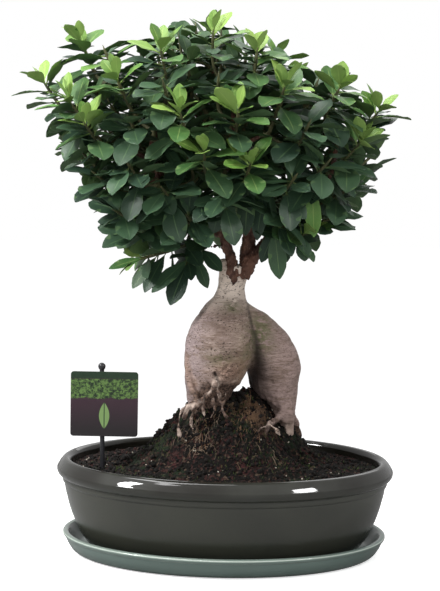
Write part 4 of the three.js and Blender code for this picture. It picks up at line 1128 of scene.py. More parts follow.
# %% [markdown]
# ## Shoots and their stems
#
# The leaves of a shoot stand in a spiral round its last three centimetres. So the leaf roots of one whorl give
# its axis, and the rings of points below it give the stem down to the branch.

# %% Shoots
# How long a whorl is, how near its leaf roots stand to each other, and how near to a stem's line its points are
WHORL_SPAN, ROOTS_APART, STEM_REACH = 27.0, 13, 3.4
LOW_FAN = "spray_18"
branch_points = places_of(nodes["branches"].data)


def whorls_of(blades):
    """The blades of a node by whorl: roots that are nearer than ROOTS_APART belong together."""
    roots = blades[:, :3]
    near = np.linalg.norm(roots[:, None] - roots, axis=-1) < ROOTS_APART
    label = np.arange(len(roots))
    for _ in roots:
        label = np.where(near, label, len(roots)).min(1)
    return [blades[label == one] for one in np.unique(label)]


def axis_of(blades):
    """Tip and way of a whorl: its leaf roots lie along their main direction, the newest just under the tip."""
    roots = blades[:, :3]
    centre = roots.mean(0)
    way = np.linalg.svd(roots - centre)[2][0]
    way = way * np.sign(blades[:, 6:9].mean(0) @ way)
    return centre + way * (((roots - centre) @ way).max() + 2.25), way


def stem_of(name, tip, way):
    """A path from a spray's foot to the tip of one whorl, through the rings of points that lead down from it."""
    _, points, beside = packed[name]
    low = tip - WHORL_SPAN * way
    height = np.clip((points - low) @ way, 0, WHORL_SPAN + 12)
    seen = np.linalg.norm(points - low - height[:, None] * way, axis=1) < STEM_REACH
    ring = seen & (np.linalg.norm(points - low, axis=1) < STEM_REACH)
    path = [tip + 3 * way, low]
    for _ in range(2):
        ring = beside[ring].any(0) & ~seen
        if ring.any():
            seen = seen | ring
            path.append(points[ring].mean(0))
    foot_gap = np.linalg.norm(points[:, None] - branch_points, axis=-1).min(1)
    path.append(points[np.argsort(foot_gap)[:3]].mean(0))
    return np.array(path[::-1])


shoots = []
for name in spray_names:
    for blades in whorls_of(packed[name][0]):
        tip, way = axis_of(blades)
        shoots.append({"name": name, "tip": tip, "way": way, "path": stem_of(name, tip, way)})
shoot_tips = np.array([shoot["tip"] for shoot in shoots])
young_shoots = [int(np.linalg.norm(shoot_tips - packed[name][0][:, :3].mean(0), axis=1).argmin())
                for name in young_names]
print("shoots", len(shoots), "with young leaves", len(set(young_shoots)))

# %% [markdown]
# ## The crown's outline
#
# The crown is not a ball: its tufts stand up with valleys between them, and at the left a low fan hangs by the
# neck. Its outline was measured in the photograph. A whorl that stands out over it is let down into it, hanging
# leaves are lifted to its lower edge, and high in the crown the old leaves are turned flat to the light. Seven
# leaves of the low fan are then aimed at the places where the photograph shows their tips.

# %% Set the whorls into the outline
# A packed leaf longer than this is drawn at this share of its length
LONG_LEAF, OLD_LENGTH_SHARE = 40.0, 0.9

# How far round its tip a whorl reaches, how far it may be let down, and how far leaves may pass the outline
WHORL_REACH, MOST_LOWERED, OUTLINE_SLACK = 34, 30, 3

# Between these two x only the low fan may hang lower than this
UNDER_FAN, FAN_CEILING = (-140, -20), 320

# The crown's upper and lower edge as the camera sees them on the plane y = 0: x and z in millimetres
CROWN_TOP = np.array([
    (-231, 477), (-219, 493), (-207, 504), (-194, 502), (-186, 496), (-183, 533), (-170, 535), (-158, 549),
    (-148, 543), (-132, 545), (-124, 536), (-109, 526), (-101, 532), (-85, 532), (-75, 544), (-59, 555), (-51, 557),
    (-40, 552), (-30, 550), (-24, 561), (-16, 564), (-8, 548), (3, 544), (27, 540), (39, 533), (52, 529), (56, 517),
    (66, 511), (74, 513), (81, 501), (91, 510), (101, 515), (113, 508), (124, 508), (132, 492), (145, 480),
    (155, 484), (167, 470)])
CROWN_FOOT = np.array([
    (-217, 472), (-202, 462), (-200, 427), (-186, 413), (-175, 405), (-159, 402), (-150, 366), (-144, 350),
    (-133, 332), (-125, 321), (-118, 295), (-106, 295), (-93, 278), (-75, 278), (-62, 264), (-56, 264), (-48, 267),
    (-38, 284), (-23, 288), (-14, 309), (17, 310), (24, 303), (40, 300), (55, 290), (63, 300), (79, 309), (85, 328),
    (97, 339), (109, 349), (124, 348), (134, 343), (140, 358), (147, 384), (157, 399), (164, 462)])


def seen_at(places):
    """Where the camera sees a place on the plane y = 0: its gap to the camera times plane depth / its depth."""
    scale = camera_place[1] / (camera_place[1] - places[..., 1])
    return tuple(camera_place[k] + (places[..., k] - camera_place[k]) * scale for k in (0, 2))


def place_seen(x, z, depth):
    """The way back: the place at y = depth that the camera sees over (x, z) of the plane y = 0."""
    place = camera_place + (np.array([x, 0, z]) - camera_place) * (camera_place[1] - depth) / camera_place[1]
    return np.array([place[0], depth, place[2]])


def tips_of(leaves):
    """The tips of leaves: root + length times way."""
    return leaves[:, :3] + leaves[:, 3:6] * leaves[:, 9:10]


for number, shoot in enumerate(shoots):
    old = packed[shoot["name"]][0]
    members = [(old, np.linalg.norm(old[:, :3] - shoot["tip"], axis=1) < WHORL_REACH)]
    young_here = [name for name, other in zip(young_names, young_shoots) if other == number]
    members += [(packed[name][0], slice(None)) for name in young_here]
    z = seen_at(np.concatenate([tips_of(leaves[rows]) for leaves, rows in members]))[1]
    here = seen_at(shoot["tip"])[0]
    top = np.interp([here - 12, here, here + 12], *CROWN_TOP.T).max()
    over = np.clip(z.max() - top, 0, MOST_LOWERED)
    for leaves, rows in members:
        leaves[rows, 2] -= over
    shoot["tip"][2] -= over
    shoot["path"][-2:, 2] -= over
shoot_tips = np.array([shoot["tip"] for shoot in shoots])

for name in spray_names:
    leaves = packed[name][0]
    x, z = seen_at(tips_of(leaves))
    foot = np.interp(x, *CROWN_FOOT.T) - OUTLINE_SLACK
    if name != LOW_FAN:
        foot = np.where((x > UNDER_FAN[0]) & (x < UNDER_FAN[1]), FAN_CEILING, foot)
    under = np.clip(foot - z, 0, None)
    over = np.clip(z - np.interp(x, *CROWN_TOP.T) - OUTLINE_SLACK, 0, None)
    rise = leaves[:, 5] + (under - over) / leaves[:, 9]
    rise = np.clip(rise, np.minimum(leaves[:, 5], -0.9), np.maximum(leaves[:, 5], 0.5))
    level = leaves[:, 3:5] * np.sqrt((1 - rise**2) / np.maximum((leaves[:, 3:5] ** 2).sum(1), 0.01))[:, None]
    leaves[:, 3:6] = unit(np.column_stack([level, rise]))
    flat = unit(np.array([0, 0, 1.0]) - leaves[:, 5:6] * leaves[:, 3:6])
    share = np.interp(leaves[:, 2], [335, 385], [0.15, 0.8]) * rng.uniform(0.6, 1.1, len(leaves))
    face = leaves[:, 6:9] + (flat - leaves[:, 6:9]) * (share * (1 - leaves[:, 5] ** 4))[:, None]
    leaves[:, 6:9] = unit(face - leaves[:, 3:6] * dot(face, leaves[:, 3:6]))


def aimed(base, x, z, depth, half):
    """A leaf of this half width from its base to the place at y = depth that is seen at (x, z).

    Its face looks to the front and up. Long leaves are made longer here by what their skin is shortened later."""
    reach = place_seen(x, z, depth) - base
    length = np.linalg.norm(reach)
    way = reach / length
    face = np.array([-0.2, -0.8, 0.55])
    face = unit(face - way * (face @ way))
    if length > LONG_LEAF * OLD_LENGTH_SHARE:
        length /= OLD_LENGTH_SHARE
    return np.array([*base, *way, *face, length, 0.08, half])


# The x of the leaf's base, the tip as seen in x and z, its depth, and half the leaf's width
FAN_TIPS = [(-85.7, -124, 296, -14, 6), (-72.7, -101, 276, -18, 8), (-64.2, -88, 272, -26, 8.5),
            (-38.8, -79, 272, -30, 8.5), (-41.5, -61, 259, -28, 10.5), (-29.3, -9, 294, -24, 7.5),
            (-35.0, -23, 276, -20, 6.5)]
fan = packed[LOW_FAN][0]
for base_x, *tip in FAN_TIPS:
    row = np.abs(fan[:, 0] - base_x).argmin()
    fan[row] = aimed(fan[row, :3], *tip)
print("highest shoot tip", round(float(shoot_tips[:, 2].max())), "mm, leaves aimed in the low fan", len(FAN_TIPS))

# %% [markdown]
# ## More leaves
#
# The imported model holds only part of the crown's leaves, because its blades are thicker than real ones. Here the
# rest is grown: older leaves lower on each stem, a few small new ones at the tips, and inner shoots between the
# others. Each new leaf turns round its stem until most of it is clear of the leaves before it. Eight leaves that
# hang from the crown's lower edge in the photograph are put in one by one, each on the nearest stem.

# %% Growing leaves
GOLDEN_ANGLE = math.pi * (3 - math.sqrt(5))

# The two clearances that are kept between leaves
SNUG, ROOMY = 2.5, 3.9
SAMPLE_ALONG, SAMPLE_ASIDE = (part.ravel() for part in np.meshgrid([0.3, 0.5, 0.7, 0.92], [-0.7, 0.0, 0.7]))
TRIES = np.array([0, 0.35, -0.35, 0.7, -0.7, 1.1, -1.1, 1.6, -1.6, 2.2, -2.2, 3.1])


def leaf_samples(leaves):
    """Twelve places spread over each leaf."""
    base, way, face, length, droop, half = np.split(leaves, [3, 6, 9, 10, 11], axis=1)
    side = np.cross(face, way)
    along, aside = SAMPLE_ALONG[None, :, None], SAMPLE_ASIDE[None, :, None]
    places = base[:, None] + way[:, None] * length[:, None] * along + side[:, None] * half[:, None] * aside
    return places + face[:, None] * (0.2 * half[:, None] * np.abs(aside) - (droop * length)[:, None] * along**2)


class Crowd:
    """A grid of small cells over the crown that marks which of them are within a clearance of something."""

    cell = 1.5
    corner = np.array([-260.0, -210.0, 240.0])
    size = (330, 280, 260)

    def __init__(self, clearances):
        """An empty grid for each clearance, and the steps from a cell to all that lie within it."""
        self.full = {clearance: np.zeros(self.size, bool) for clearance in clearances}
        self.balls = {}
        for clearance in clearances:
            reach = int(clearance / self.cell) + 1
            steps = np.stack(np.meshgrid(*[np.arange(-reach, reach + 1)] * 3), axis=-1).reshape(-1, 3)
            self.balls[clearance] = steps[np.linalg.norm(steps, axis=1) * self.cell <= clearance]

    def cells(self, places):
        """The cell that each place lies in, kept inside the grid."""
        number = np.round((places - self.corner) / self.cell).astype(int)
        return np.clip(number, 0, np.array(self.size) - 1)

    def room_for(self, places, clearance):
        """Which of several leaves keeps this clearance from everything that was added."""
        x, y, z = np.moveaxis(self.cells(places), -1, 0)
        return ~self.full[clearance][x, y, z].any(1)

    def add(self, places):
        """Marks the cells round these places as taken."""
        middle = (places.reshape(-1, 3) - self.corner) / self.cell
        for clearance, ball in self.balls.items():
            around = np.round(middle[:, None] + ball).astype(int).reshape(-1, 3)
            x, y, z = np.clip(around, 0, np.array(self.size) - 1).T
            self.full[clearance][x, y, z] = True


NECK_WINDOW, WINDOW_DEPTH, WINDOW_TOP = (-18, 44), 30, 350


def within_crown(places, low_fan):
    """Which leaves stay inside the crown's outline and out of the window over the neck where the grafts show.

    Only the low fan's own leaves may hang beneath the crown on the left."""
    x, z = seen_at(places)
    inside = (z > np.interp(x, *CROWN_FOOT.T)) & (z < np.interp(x, *CROWN_TOP.T))
    window = (x > NECK_WINDOW[0]) & (x < NECK_WINDOW[1]) & (places[..., 1] < WINDOW_DEPTH) & (z < WINDOW_TOP)
    under_fan = (not low_fan) & (x > UNDER_FAN[0]) & (x < UNDER_FAN[1]) & (z < FAN_CEILING + 2)
    return (inside & ~window & ~under_fan).all(-1)


def leaf_tries(base, axis, azimuth, spread, sag, length, roll, droop):
    """One leaf turned round its stem in several ways: axis cos(spread) + outward sin(spread), then let sag.

    High in the crown the leaves turn flat to the light, so they circle a line that leans less than their stem."""
    upright = np.interp(base[2], [330, 400], [0, 0.8])
    axis = unit(axis * np.interp(base[2], [330, 400], [1.0, 0.35]) + [0, 0, upright])
    side, rise = across(axis)
    turns = (azimuth + TRIES)[:, None]
    way = axis * math.cos(spread) + (side * np.cos(turns) + rise * np.sin(turns)) * math.sin(spread)
    way = unit(way - np.array([0, 0, sag]))
    face = 0.5 * axis + np.array([0, 0, 1.0])
    face = unit(face - way * dot(way, face))
    face = unit(face * math.cos(roll) + np.cross(face, way) * math.sin(roll))
    numbers = np.tile([length, droop, rng.uniform(0.2, 0.26) * length], (len(TRIES), 1))
    return np.concatenate([np.tile(base, (len(TRIES), 1)), way, face, numbers], axis=1)


def grow(crowd, stations, axes, phase, spreads, sags, lengths, clearance=ROOMY, low_fan=False):
    """Leaves at stations along a stem, a golden angle apart, each at the first turn that is clear."""
    grown = []
    for k, (base, axis) in enumerate(zip(stations, axes)):
        tries = leaf_tries(base, axis, phase + k * GOLDEN_ANGLE, spreads[k] + 0.5 * (rng.random() - 0.5), sags[k],
                           lengths[k] * (0.8 + 0.3 * rng.random()), 1.1 * (rng.random() - 0.5),
                           0.16 * (0.3 + rng.random()))
        places = leaf_samples(tries)
        clear = np.flatnonzero(crowd.room_for(places, clearance) & within_crown(places, low_fan))
        if len(clear):
            grown.append(tries[clear[0]])
            crowd.add(places[clear[0]])
    return np.array(grown).reshape(-1, 12)


def along_path(path, back):
    """Places at given distances back from the end of a path, and the way of the path there."""
    line = curve_through(path, 10)
    run = np.append(0, np.cumsum(np.linalg.norm(np.diff(line, axis=0), axis=1)))
    at = run[-1] - np.asarray(back)
    ways = np.gradient(line, axis=0)
    place = np.stack([np.interp(at, run, line[:, k]) for k in range(3)], axis=1)
    way = np.stack([np.interp(at, run, ways[:, k]) for k in range(3)], axis=1)
    return place, unit(way)


packed_leaves = np.concatenate([packed[name][0] for name in spray_names + young_names])
stem_paths = [curve_through(shoot["path"], 8) for shoot in shoots]
crowd = Crowd([SNUG, ROOMY])
for taken in (leaf_samples(packed_leaves), np.concatenate(stem_paths), branch_points, neck_points):
    crowd.add(taken)

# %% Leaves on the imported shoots
# The number of the one shoot whose old leaves are bright in the photograph
BRIGHT_OLD = 1

# Where small young leaves stand past a tip, and older ones back from the end of a stem
YOUNG_BEYOND, YOUNG_SPREADS, YOUNG_LENGTHS = [1.5, 4, 6.5, 8.5], [0.8, 0.6, 0.45, 0.25], [35, 31, 27, 21]
OLDER_BACK, BETWEEN_BACK = 3 + WHORL_SPAN + np.array([3, 8, 13, 19, 25, 31, 38]), [4, 9, 14, 19, 24, 29]

# The tip as seen in x and z, its depth, half the leaf's width, and its youth
HUNG = [(54, 287, -80, 9.5, 0.1), (34, 303, -66, 7.5, 0), (78, 306, -84, 8, 0), (87, 330, -92, 8, 0.6),
        (-17, 331, -84, 9, 0), (-3, 336, -96, 10, 0), (13, 331, -90, 9.5, 0.1), (27, 325, -84, 8.5, 0)]
STALK_FROM_TIP = [0, 10, 42]


def aged(leaves, youth_and_light):
    """Leaves with one number more: their youth, from 0 for old to 1 for young, which also carries painted light."""
    return np.column_stack([leaves, np.broadcast_to(youth_and_light, len(leaves))])


def old_leaf_youth_and_light(blades):
    """How young the leaves of a spray look: greener towards a tip that carries young leaves, and greener high up,
    where light is painted on the crown's top.
    """
    to_tip = np.linalg.norm(blades[:, None, :3] - shoot_tips[young_shoots], axis=-1).min(1)
    to_bright = np.linalg.norm(blades[:, :3] - shoot_tips[BRIGHT_OLD], axis=1)
    # Painted light: leaves high in the crown are made greener, as if lit from above
    lit = 0.2 * np.interp(blades[:, 2], [430, 530], [0, 1])
    near_young = np.interp(to_tip, [2, 12, 26], [0.5, 0.25, 0.0])
    return np.maximum(near_young + lit, np.interp(to_bright, [10, 26], [0.7, 0]))


leaves_on = {name: [aged(packed[name][0], old_leaf_youth_and_light(packed[name][0]))] for name in spray_names}
for x, z, depth, half, youth_and_light in HUNG:
    wanted = place_seen(x, z, depth) + STALK_FROM_TIP
    gaps = [np.linalg.norm(path - wanted, axis=1) for path in stem_paths]
    number = min(range(len(shoots)), key=lambda n: gaps[n].min())
    leaf = aimed(stem_paths[number][gaps[number].argmin()], x, z, depth, half)[None]
    print("hung leaf on", shoots[number]["name"], "length", round(float(leaf[0, 9])))
    crowd.add(leaf_samples(leaf))
    leaves_on[shoots[number]["name"]].append(aged(leaf, youth_and_light))
for name, number in zip(young_names, young_shoots):
    way = shoots[number]["way"]
    stations = shoots[number]["tip"] + np.outer(YOUNG_BEYOND, way)
    small = grow(crowd, stations, [way] * 4, rng.uniform(0, 6), YOUNG_SPREADS, [0] * 4, YOUNG_LENGTHS, SNUG)
    leaves_on[name] = [aged(packed[name][0], 1), aged(small, 1)]
for shoot in shoots:
    low_fan = shoot["name"] == LOW_FAN
    stations, axes = along_path(shoot["path"], OLDER_BACK)
    older = grow(crowd, stations, axes, rng.uniform(0, 6), np.full(7, 1.45), np.linspace(0.3, 0.5, 7),
                 np.full(7, 43), low_fan=low_fan)
    stations, axes = along_path(shoot["path"], BETWEEN_BACK)
    between_them = grow(crowd, stations, axes, rng.uniform(0, 6), np.full(6, 1.2), np.full(6, 0.1),
                        np.full(6, 35), SNUG, low_fan)
    leaves_on[shoot["name"]] += [aged(older, 0), aged(between_them, 0)]
print("leaves on the sprays", sum(len(part) for parts in leaves_on.values() for part in parts))

# %% Inner shoots
CROWN_MIDDLE = np.array([-14.0, 0.0, 430.0])
CROWN_HALF = np.array([192.0, 150.0, 142.0])
INNER_TRIES = 1500

# The lowest tip, its gap under the crown's top and from other tips, and the length of the stem
INNER_FLOOR, UNDER_TOP, TIPS_APART, INNER_STEM = 345, 18, 24, 30
INNER_BACK = np.array([30, 25.5, 21, 16.5, 12, 8, 4.5, 1.5])

# Each limb is its places, and its radii spread evenly over it
LIMBS = [
    ([[3.5, -14, 277], [4, -12, 286], [3, -9, 298], [1, -8, 310], [-12, -8, 338], [-52, -6, 392], [-108, -2, 440],
      [-140, 0, 466]], [0.8, 4.6, 6.4, 5.4, 4, 3.6, 3.2, 2.6]),
    ([[17, 2, 292], [19, 2, 312], [19, 0, 352], [6, 6, 420], [-6, 4, 482]], [8, 7.5, 5.8, 3.8, 2.4]),
    ([[15, -7, 288], [20, -7, 302], [28, -6, 313], [45, -3, 335], [84, 0, 382], [124, 2, 430]],
     [6.4, 6.8, 6.0, 4.4, 3.4, 2.6]),
    ([[-22, -7, 352], [-54, -48, 384], [-82, -88, 412]], [4.6, 2.2]),
    ([[-10, -7, 334], [-44, 14, 340], [-78, 18, 346], [-104, 10, 360]], [4.2, 2.2]),
    ([[17, 1, 362], [10, -50, 398], [2, -92, 428]], [4.6, 2.2]),
    ([[18, 2, 356], [20, 52, 392], [16, 96, 424]], [4.8, 2.2]),
    ([[8, 5, 412], [-40, 4, 458], [-72, 4, 484]], [4, 2]),
    ([[10, 4, 400], [52, 6, 452], [78, 4, 478]], [4, 2]),
    ([[56, -2, 350], [82, -44, 374], [98, -78, 398]], [4.4, 2.2]),
    ([[54, -2, 348], [80, 44, 376], [98, 82, 404]], [4.4, 2.2]),
    ([[-40, -7, 376], [-66, 44, 400], [-86, 88, 424]], [4.4, 2.2]),
]
limb_places = np.concatenate([curve_through(points, 6)[3:] for points, _ in LIMBS])


def limb_near(place):
    """The place on the limbs that can feed a shoot best: near it, and not above it."""
    rise = np.maximum(0, limb_places[:, 2] - place[2] + 12)
    return limb_places[(np.linalg.norm(limb_places - place, axis=1) + 0.3 * rise).argmin()]


inner_leaves, inner_stems = [], []
tips = shoot_tips.copy()
for _ in range(INNER_TRIES):
    out = unit(rng.normal(size=3))
    tip = CROWN_MIDDLE + CROWN_HALF * out * rng.uniform(0.45, 0.84)
    too_high = tip[2] > np.interp(tip[0], *CROWN_TOP.T) - UNDER_TOP
    if tip[2] < INNER_FLOOR or too_high or np.linalg.norm(tips - tip, axis=1).min() < TIPS_APART:
        continue
    way = unit(unit((tip - CROWN_MIDDLE + [0, 0, 20]) / CROWN_HALF) + [0, 0, 0.75])
    leaves = grow(crowd, tip - INNER_BACK[:, None] * way, [way] * 8, rng.uniform(0, 6), np.linspace(1.5, 0.7, 8),
                  np.linspace(0.35, 0, 8), np.linspace(43, 31, 8))
    if len(leaves) < 3:
        continue
    tips = np.concatenate([tips, [tip]])
    inner_leaves.append(leaves)
    foot = tip - INNER_STEM * way
    start = limb_near(foot)
    inner_stems.append(np.array([start, (start + foot) / 2 - [0, 0, 6], foot, tip + 2 * way]))
# Inner leaves take a little youth: painted light that lifts the deep shade inside the crown
inner_leaves = aged(np.concatenate(inner_leaves), 0.22)
print("inner shoots", len(inner_stems), "with leaves", len(inner_leaves))

# %% [markdown]
# ## The fine leaf
#
# A leaf is a thin closed skin: rings of six points carried from the stalk to the blunt tip. The midrib lies in a
# shallow fold, the margins stand a little above it and wave, and the blade droops along a parabola. The margin
# keeps a sharp edge, so that light doesn't smear round it.

# %% Leaf skin
LEAF_STATIONS = np.array([0.0, 0.10, 0.20, 0.34, 0.50, 0.66, 0.80, 0.92, 0.99])
LEAF_WIDTHS = np.array([0.07, 0.06, 0.30, 0.70, 0.95, 1.0, 0.84, 0.47, 0.12])
LEAF_DEPTHS = np.array([0.8, 0.7, 0.5, 0.34, 0.28, 0.26, 0.24, 0.2, 0.12])
RING_ASIDE = np.array([1, 0.5, 0, -0.5, -1, 0])
RING_RISE = np.array([0, 0.8, 1, 0.8, 0, -1])
RING_SIDES = len(RING_ASIDE)


def leaf_rings(leaves):
    """Rings of every leaf at once.

    point = root + way s L - face droop L s^2 + side half w(s) u + face (fold + wave + thickness), where s runs
    along the leaf and u across it, and side and face turn slowly about the way as s grows."""
    parts = np.split(leaves[:, :12], [3, 6, 9, 10, 11], axis=1)
    base, way, face, length, droop, half = (part[:, None, None] for part in parts)
    length = np.where(length > LONG_LEAF, length * OLD_LENGTH_SHARE, length)
    ranges = ((-0.25, 0.25), (-0.05, 0.05), (0, 6))
    twist, sway, phase = (rng.uniform(low, high, (len(leaves), 1, 1)) for low, high in ranges)
    s, u = LEAF_STATIONS[None, :, None], RING_ASIDE[None, None, :]
    width = LEAF_WIDTHS[None, :, None] * half[..., 0]
    fold = width * (0.28 * np.abs(u) - 0.08 * u**2)
    wave = width * 0.07 * np.abs(u) * np.sin(13 * s + phase + 2 * u)
    rise = fold + wave + RING_RISE * LEAF_DEPTHS[None, :, None]
    rise = rise - droop[..., 0] * length[..., 0] * s**2
    aside = width * u + sway * length[..., 0] * s**2
    turn = (twist * s)[..., None]
    side = np.cross(face, way)
    turned_side = side * np.cos(turn) + face * np.sin(turn)
    turned_face = face * np.cos(turn) - side * np.sin(turn)
    return base + way * length * s[..., None] + turned_side * aside[..., None] + turned_face * rise[..., None]


def leaf_prints(faces):
    """Place in the leaf pattern: across 0 to 0.5 on top and 0.5 to 1 beneath, and along the leaf from 0 to 1."""
    along = np.append(np.repeat(LEAF_STATIONS, RING_SIDES), [0, 1])
    aside = np.append(np.tile(RING_ASIDE, len(LEAF_STATIONS)), [0, 0])
    column = np.tile(np.arange(RING_SIDES), len(LEAF_STATIONS) - 1)
    beneath = [column >= 4, np.zeros(len(faces[1]), bool)]
    prints = [np.stack([0.25 + 0.5 * under[:, None] + 0.25 * aside[part], along[part]], axis=-1)
              for part, under in zip(faces, beneath)]
    return [part.reshape(-1, 2) for part in prints]


def leaf_mesh(name, leaves):
    """All these leaves as one mesh, with their youth, which also carries painted light, and a chance number for
    each.
    """
    rings = leaf_rings(leaves)
    _, faces = closed_skin(rings[0])
    count = len(LEAF_STATIONS) * RING_SIDES + 2
    ends = rings[:, [0, -1]].mean(axis=2)
    ends[:, 1] += leaves[:, 3:6] * 0.01 * leaves[:, 9:10]
    points = np.concatenate([rings.reshape(len(leaves), -1, 3), ends], axis=1).reshape(-1, 3)
    prints = [np.tile(part, (len(leaves), 1)) for part in leaf_prints(faces)]
    marks = {"youth_and_light": np.repeat(leaves[:, 12], count), "chance": np.repeat(rng.random(len(leaves)), count)}
    mesh = make_mesh(name, points, repeated(count, faces, len(leaves)), marks, np.concatenate(prints))
    edges = np.empty(len(mesh.edges) * 2, np.int32)
    mesh.edges.foreach_get("vertices", edges)
    in_leaf = edges.reshape(-1, 2) % count
    margin = np.isin(in_leaf % RING_SIDES, (0, 4)) & (in_leaf < count - 2)
    mesh.attributes.new("sharp_edge", "BOOLEAN", "EDGE").data.foreach_set("value", margin.all(1))
    return mesh


# %% Leaf finish


def leaf_finish(name, roughness):
    """Leathery leaf: dark blue-green when old, yellow-green when young, with pale midrib and margin, dull behind.
    Painted light turns leaves greener through the same mark as youth.
    """
    finish, tree, shader = start_finish(name, roughness, specular=0.3)
    pattern = add_node(tree, "UVMap", "UV", {}, uv_map="pattern")
    across_leaf = add_node(tree, "SeparateXYZ", "X", {"Vector": pattern})
    along_leaf = add_node(tree, "SeparateXYZ", "Y", {"Vector": pattern})
    beneath = calc(tree, "GREATER_THAN", across_leaf, 0.5)
    folded = calc(tree, "FRACT", times(tree, across_leaf, 2.0))
    from_rib = calc(tree, "ABSOLUTE", calc(tree, "SUBTRACT", times(tree, folded, 2.0), 1.0))
    youth_and_light, chance = mark(tree, "youth_and_light"), mark(tree, "chance")
    place = object_place(tree)
    rib = times(tree, between(tree, from_rib, 0.075, 0.02), between(tree, along_leaf, 1.0, 0.75))
    slant = calc(tree, "SUBTRACT", times(tree, along_leaf, 15.0), times(tree, from_rib, 2.2))
    wave = calc(tree, "ABSOLUTE", calc(tree, "SINE", times(tree, slant, math.pi)))
    lines = calc(tree, "MAXIMUM", times(tree, rib, 0.55), times(tree, between(tree, wave, 0.16, 0.0), 0.16))

    def by_youth(old, young):
        """One colour on old leaves and another on young ones."""
        return mixed(tree, youth_and_light, old, young)

    dark = mixed(tree, chance, paint(33, 51, 39), paint(54, 79, 54))
    middle = mixed(tree, chance, paint(50, 84, 42), paint(74, 112, 54))
    fresh = mixed(tree, chance, paint(62, 100, 38), paint(128, 156, 76))
    clouds = times(tree, patches(tree, place, 120, 5, 0.4, 0.7), 0.25)
    margin = times(tree, between(tree, from_rib, 0.93, 1.0), 0.4)
    colour = layered(tree, dark, [
        (between(tree, youth_and_light, 0.05, 0.5), middle),
        (between(tree, youth_and_light, 0.5, 1.0), fresh),
        (clouds, by_youth(paint(44, 64, 52), paint(128, 158, 76))),
        (lines, by_youth(paint(80, 106, 70), paint(160, 180, 100))),
        (margin, by_youth(paint(84, 106, 84), paint(150, 174, 92))),
        (between(tree, along_leaf, 0.2, 0.1), by_youth(paint(74, 88, 50), paint(130, 156, 76))),
        (times(tree, beneath, 0.6), by_youth(paint(78, 104, 66), paint(126, 152, 84))),
    ])
    tree.links.new(colour, shader.inputs["Base Color"])
    dull = calc(tree, "ADD", times(tree, grain(tree, place, 300, 3), 0.18), roughness - 0.06)
    tree.links.new(calc(tree, "ADD", dull, times(tree, beneath, 0.25)), shader.inputs["Roughness"])
    height = calc(tree, "SUBTRACT", times(tree, grain(tree, place, 140, 2), 0.3), lines)
    relief(tree, shader, height, 0.2, strength=0.4)
    return finish


old_leaf = leaf_finish("old_leaf", 0.42)
young_leaf = leaf_finish("young_leaf", 0.44)
total = 0
for name, parts in leaves_on.items():
    leaves = np.concatenate(parts)
    finish, slot = (old_leaf, "old_leaf") if name in spray_names else (young_leaf, "young_leaf")
    add_piece("leaves_of_" + name, leaf_mesh("leaves_of_" + name, leaves), finish, [name])
    total += len(leaves)
add_piece("inner_leaves", leaf_mesh("inner_leaves", inner_leaves), old_leaf)
print("leaves in all", total + len(inner_leaves))

# %% [markdown]
# ## Branches and green stems
#
# The grafted stems are reddish brown and fork into the limbs. Towards each whorl the wood turns thin and green,
# with a ring of scars where leaves have dropped, and ends in a pointed bud.

# %% Branch surfaces


def limb_tube(points, radii):
    """A limb along its smooth line, with its radii given at places spread evenly over it."""
    line = curve_through(points, 8)
    return tube(line, np.interp(np.linspace(0, 1, len(line)), np.linspace(0, 1, len(radii)), radii), 16)


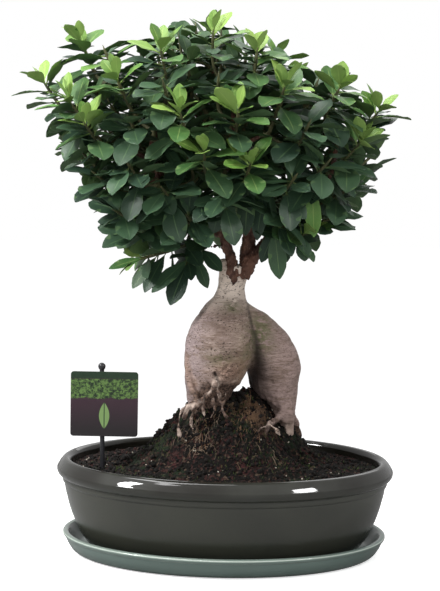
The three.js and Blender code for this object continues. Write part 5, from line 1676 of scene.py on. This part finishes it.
BARE_TWIG = ([(0, -8, 318), (-10, -12, 321), (-20, -11, 320), (-30, -14, 326)], [1.6, 1.2, 0.9, 0.8])
limb_skins = [limb_tube(*limb) for limb in LIMBS]
for foot in {tuple(np.round(shoot["path"][0], 1)) for shoot in shoots}:
    foot = np.array(foot)
    start = limb_near(foot)
    bend = (start + foot) / 2 - [0, 0, 0.08 * np.linalg.norm(foot - start)]
    line = curve_through([start, bend, foot], 8)
    limb_skins.append(tube(line, np.linspace(2.8, 2.3, len(line)), 12))
limb_skins.append(limb_tube(*BARE_TWIG))
branch_mesh = remeshed("branch_bark", limb_skins, cell_mm=1.5, smoothing=2)
branch_places = places_of(branch_mesh)
gnarled = soft_step(350 - branch_places[:, 2], 14)
rough = 0.45 * ripple(branch_places * np.array([1, 1, 0.5]), 6, 41) + 0.3 * ripple(branch_places, 3.4, 42)
wood_knots = np.clip(ripple(branch_places, 9, 43), 0, 2) ** 2
pushed_out(branch_mesh, branch_places, rough * (0.3 + 1.8 * gnarled) + 0.5 * wood_knots * gnarled)
print("branches have", len(branch_mesh.vertices), "points")


def stem_tube(path, start, end):
    """A green stem with a slight swelling every few millimetres, drawn in to a pointed bud."""
    line = curve_through(path, 8)
    run = np.append(0, np.cumsum(np.linalg.norm(np.diff(line, axis=0), axis=1)))
    radii = np.interp(run, [0, run[-1] - 9, run[-1]], [start, end, 0.25]) * (1 + 0.12 * np.sin(run * 1.4))
    return tube(line, radii, 8)


def lengthened(path, by):
    """The path with its last place moved on by a length."""
    return np.concatenate([path[:-1], [path[-1] + unit(path[-1] - path[-2]) * by]])


stem_skins = [stem_tube(lengthened(shoot["path"], 7), 2.1, 1.4) for shoot in shoots]
stem_skins += [stem_tube(lengthened(path, 5), 2.0, 1.3) for path in inner_stems]
stem_mesh = make_mesh("green_stems", *gather(stem_skins))
print("stems", len(stem_skins))


def branch_finish(name, low, high, streak):
    """Young bark: two browns in clouds with fine lengthways streaks and pale breathing pores."""
    finish, tree, shader = start_finish(name, 0.65, specular=0.35)
    place = object_place(tree)
    clouds = mixed(tree, patches(tree, place, 70, 5, 0.35, 0.65), low, high)
    fine = grain(tree, object_place(tree, (1, 1, 0.45)), 620, 6, 0.75)
    colour = mixed(tree, between(tree, fine, 0.55, 0.72), clouds, streak)
    tree.links.new(colour, shader.inputs["Base Color"])
    relief(tree, shader, fine, 0.6, strength=0.7)
    return finish


branch_bark = branch_finish("branch_bark", paint(54, 34, 28), paint(104, 72, 58), paint(150, 118, 98))
green_bark = branch_finish("green_bark", paint(58, 62, 40), paint(84, 84, 54), paint(112, 108, 82))
add_piece("branch_bark", branch_mesh, branch_bark, ["branches"])
add_piece("green_stems", stem_mesh, green_bark)
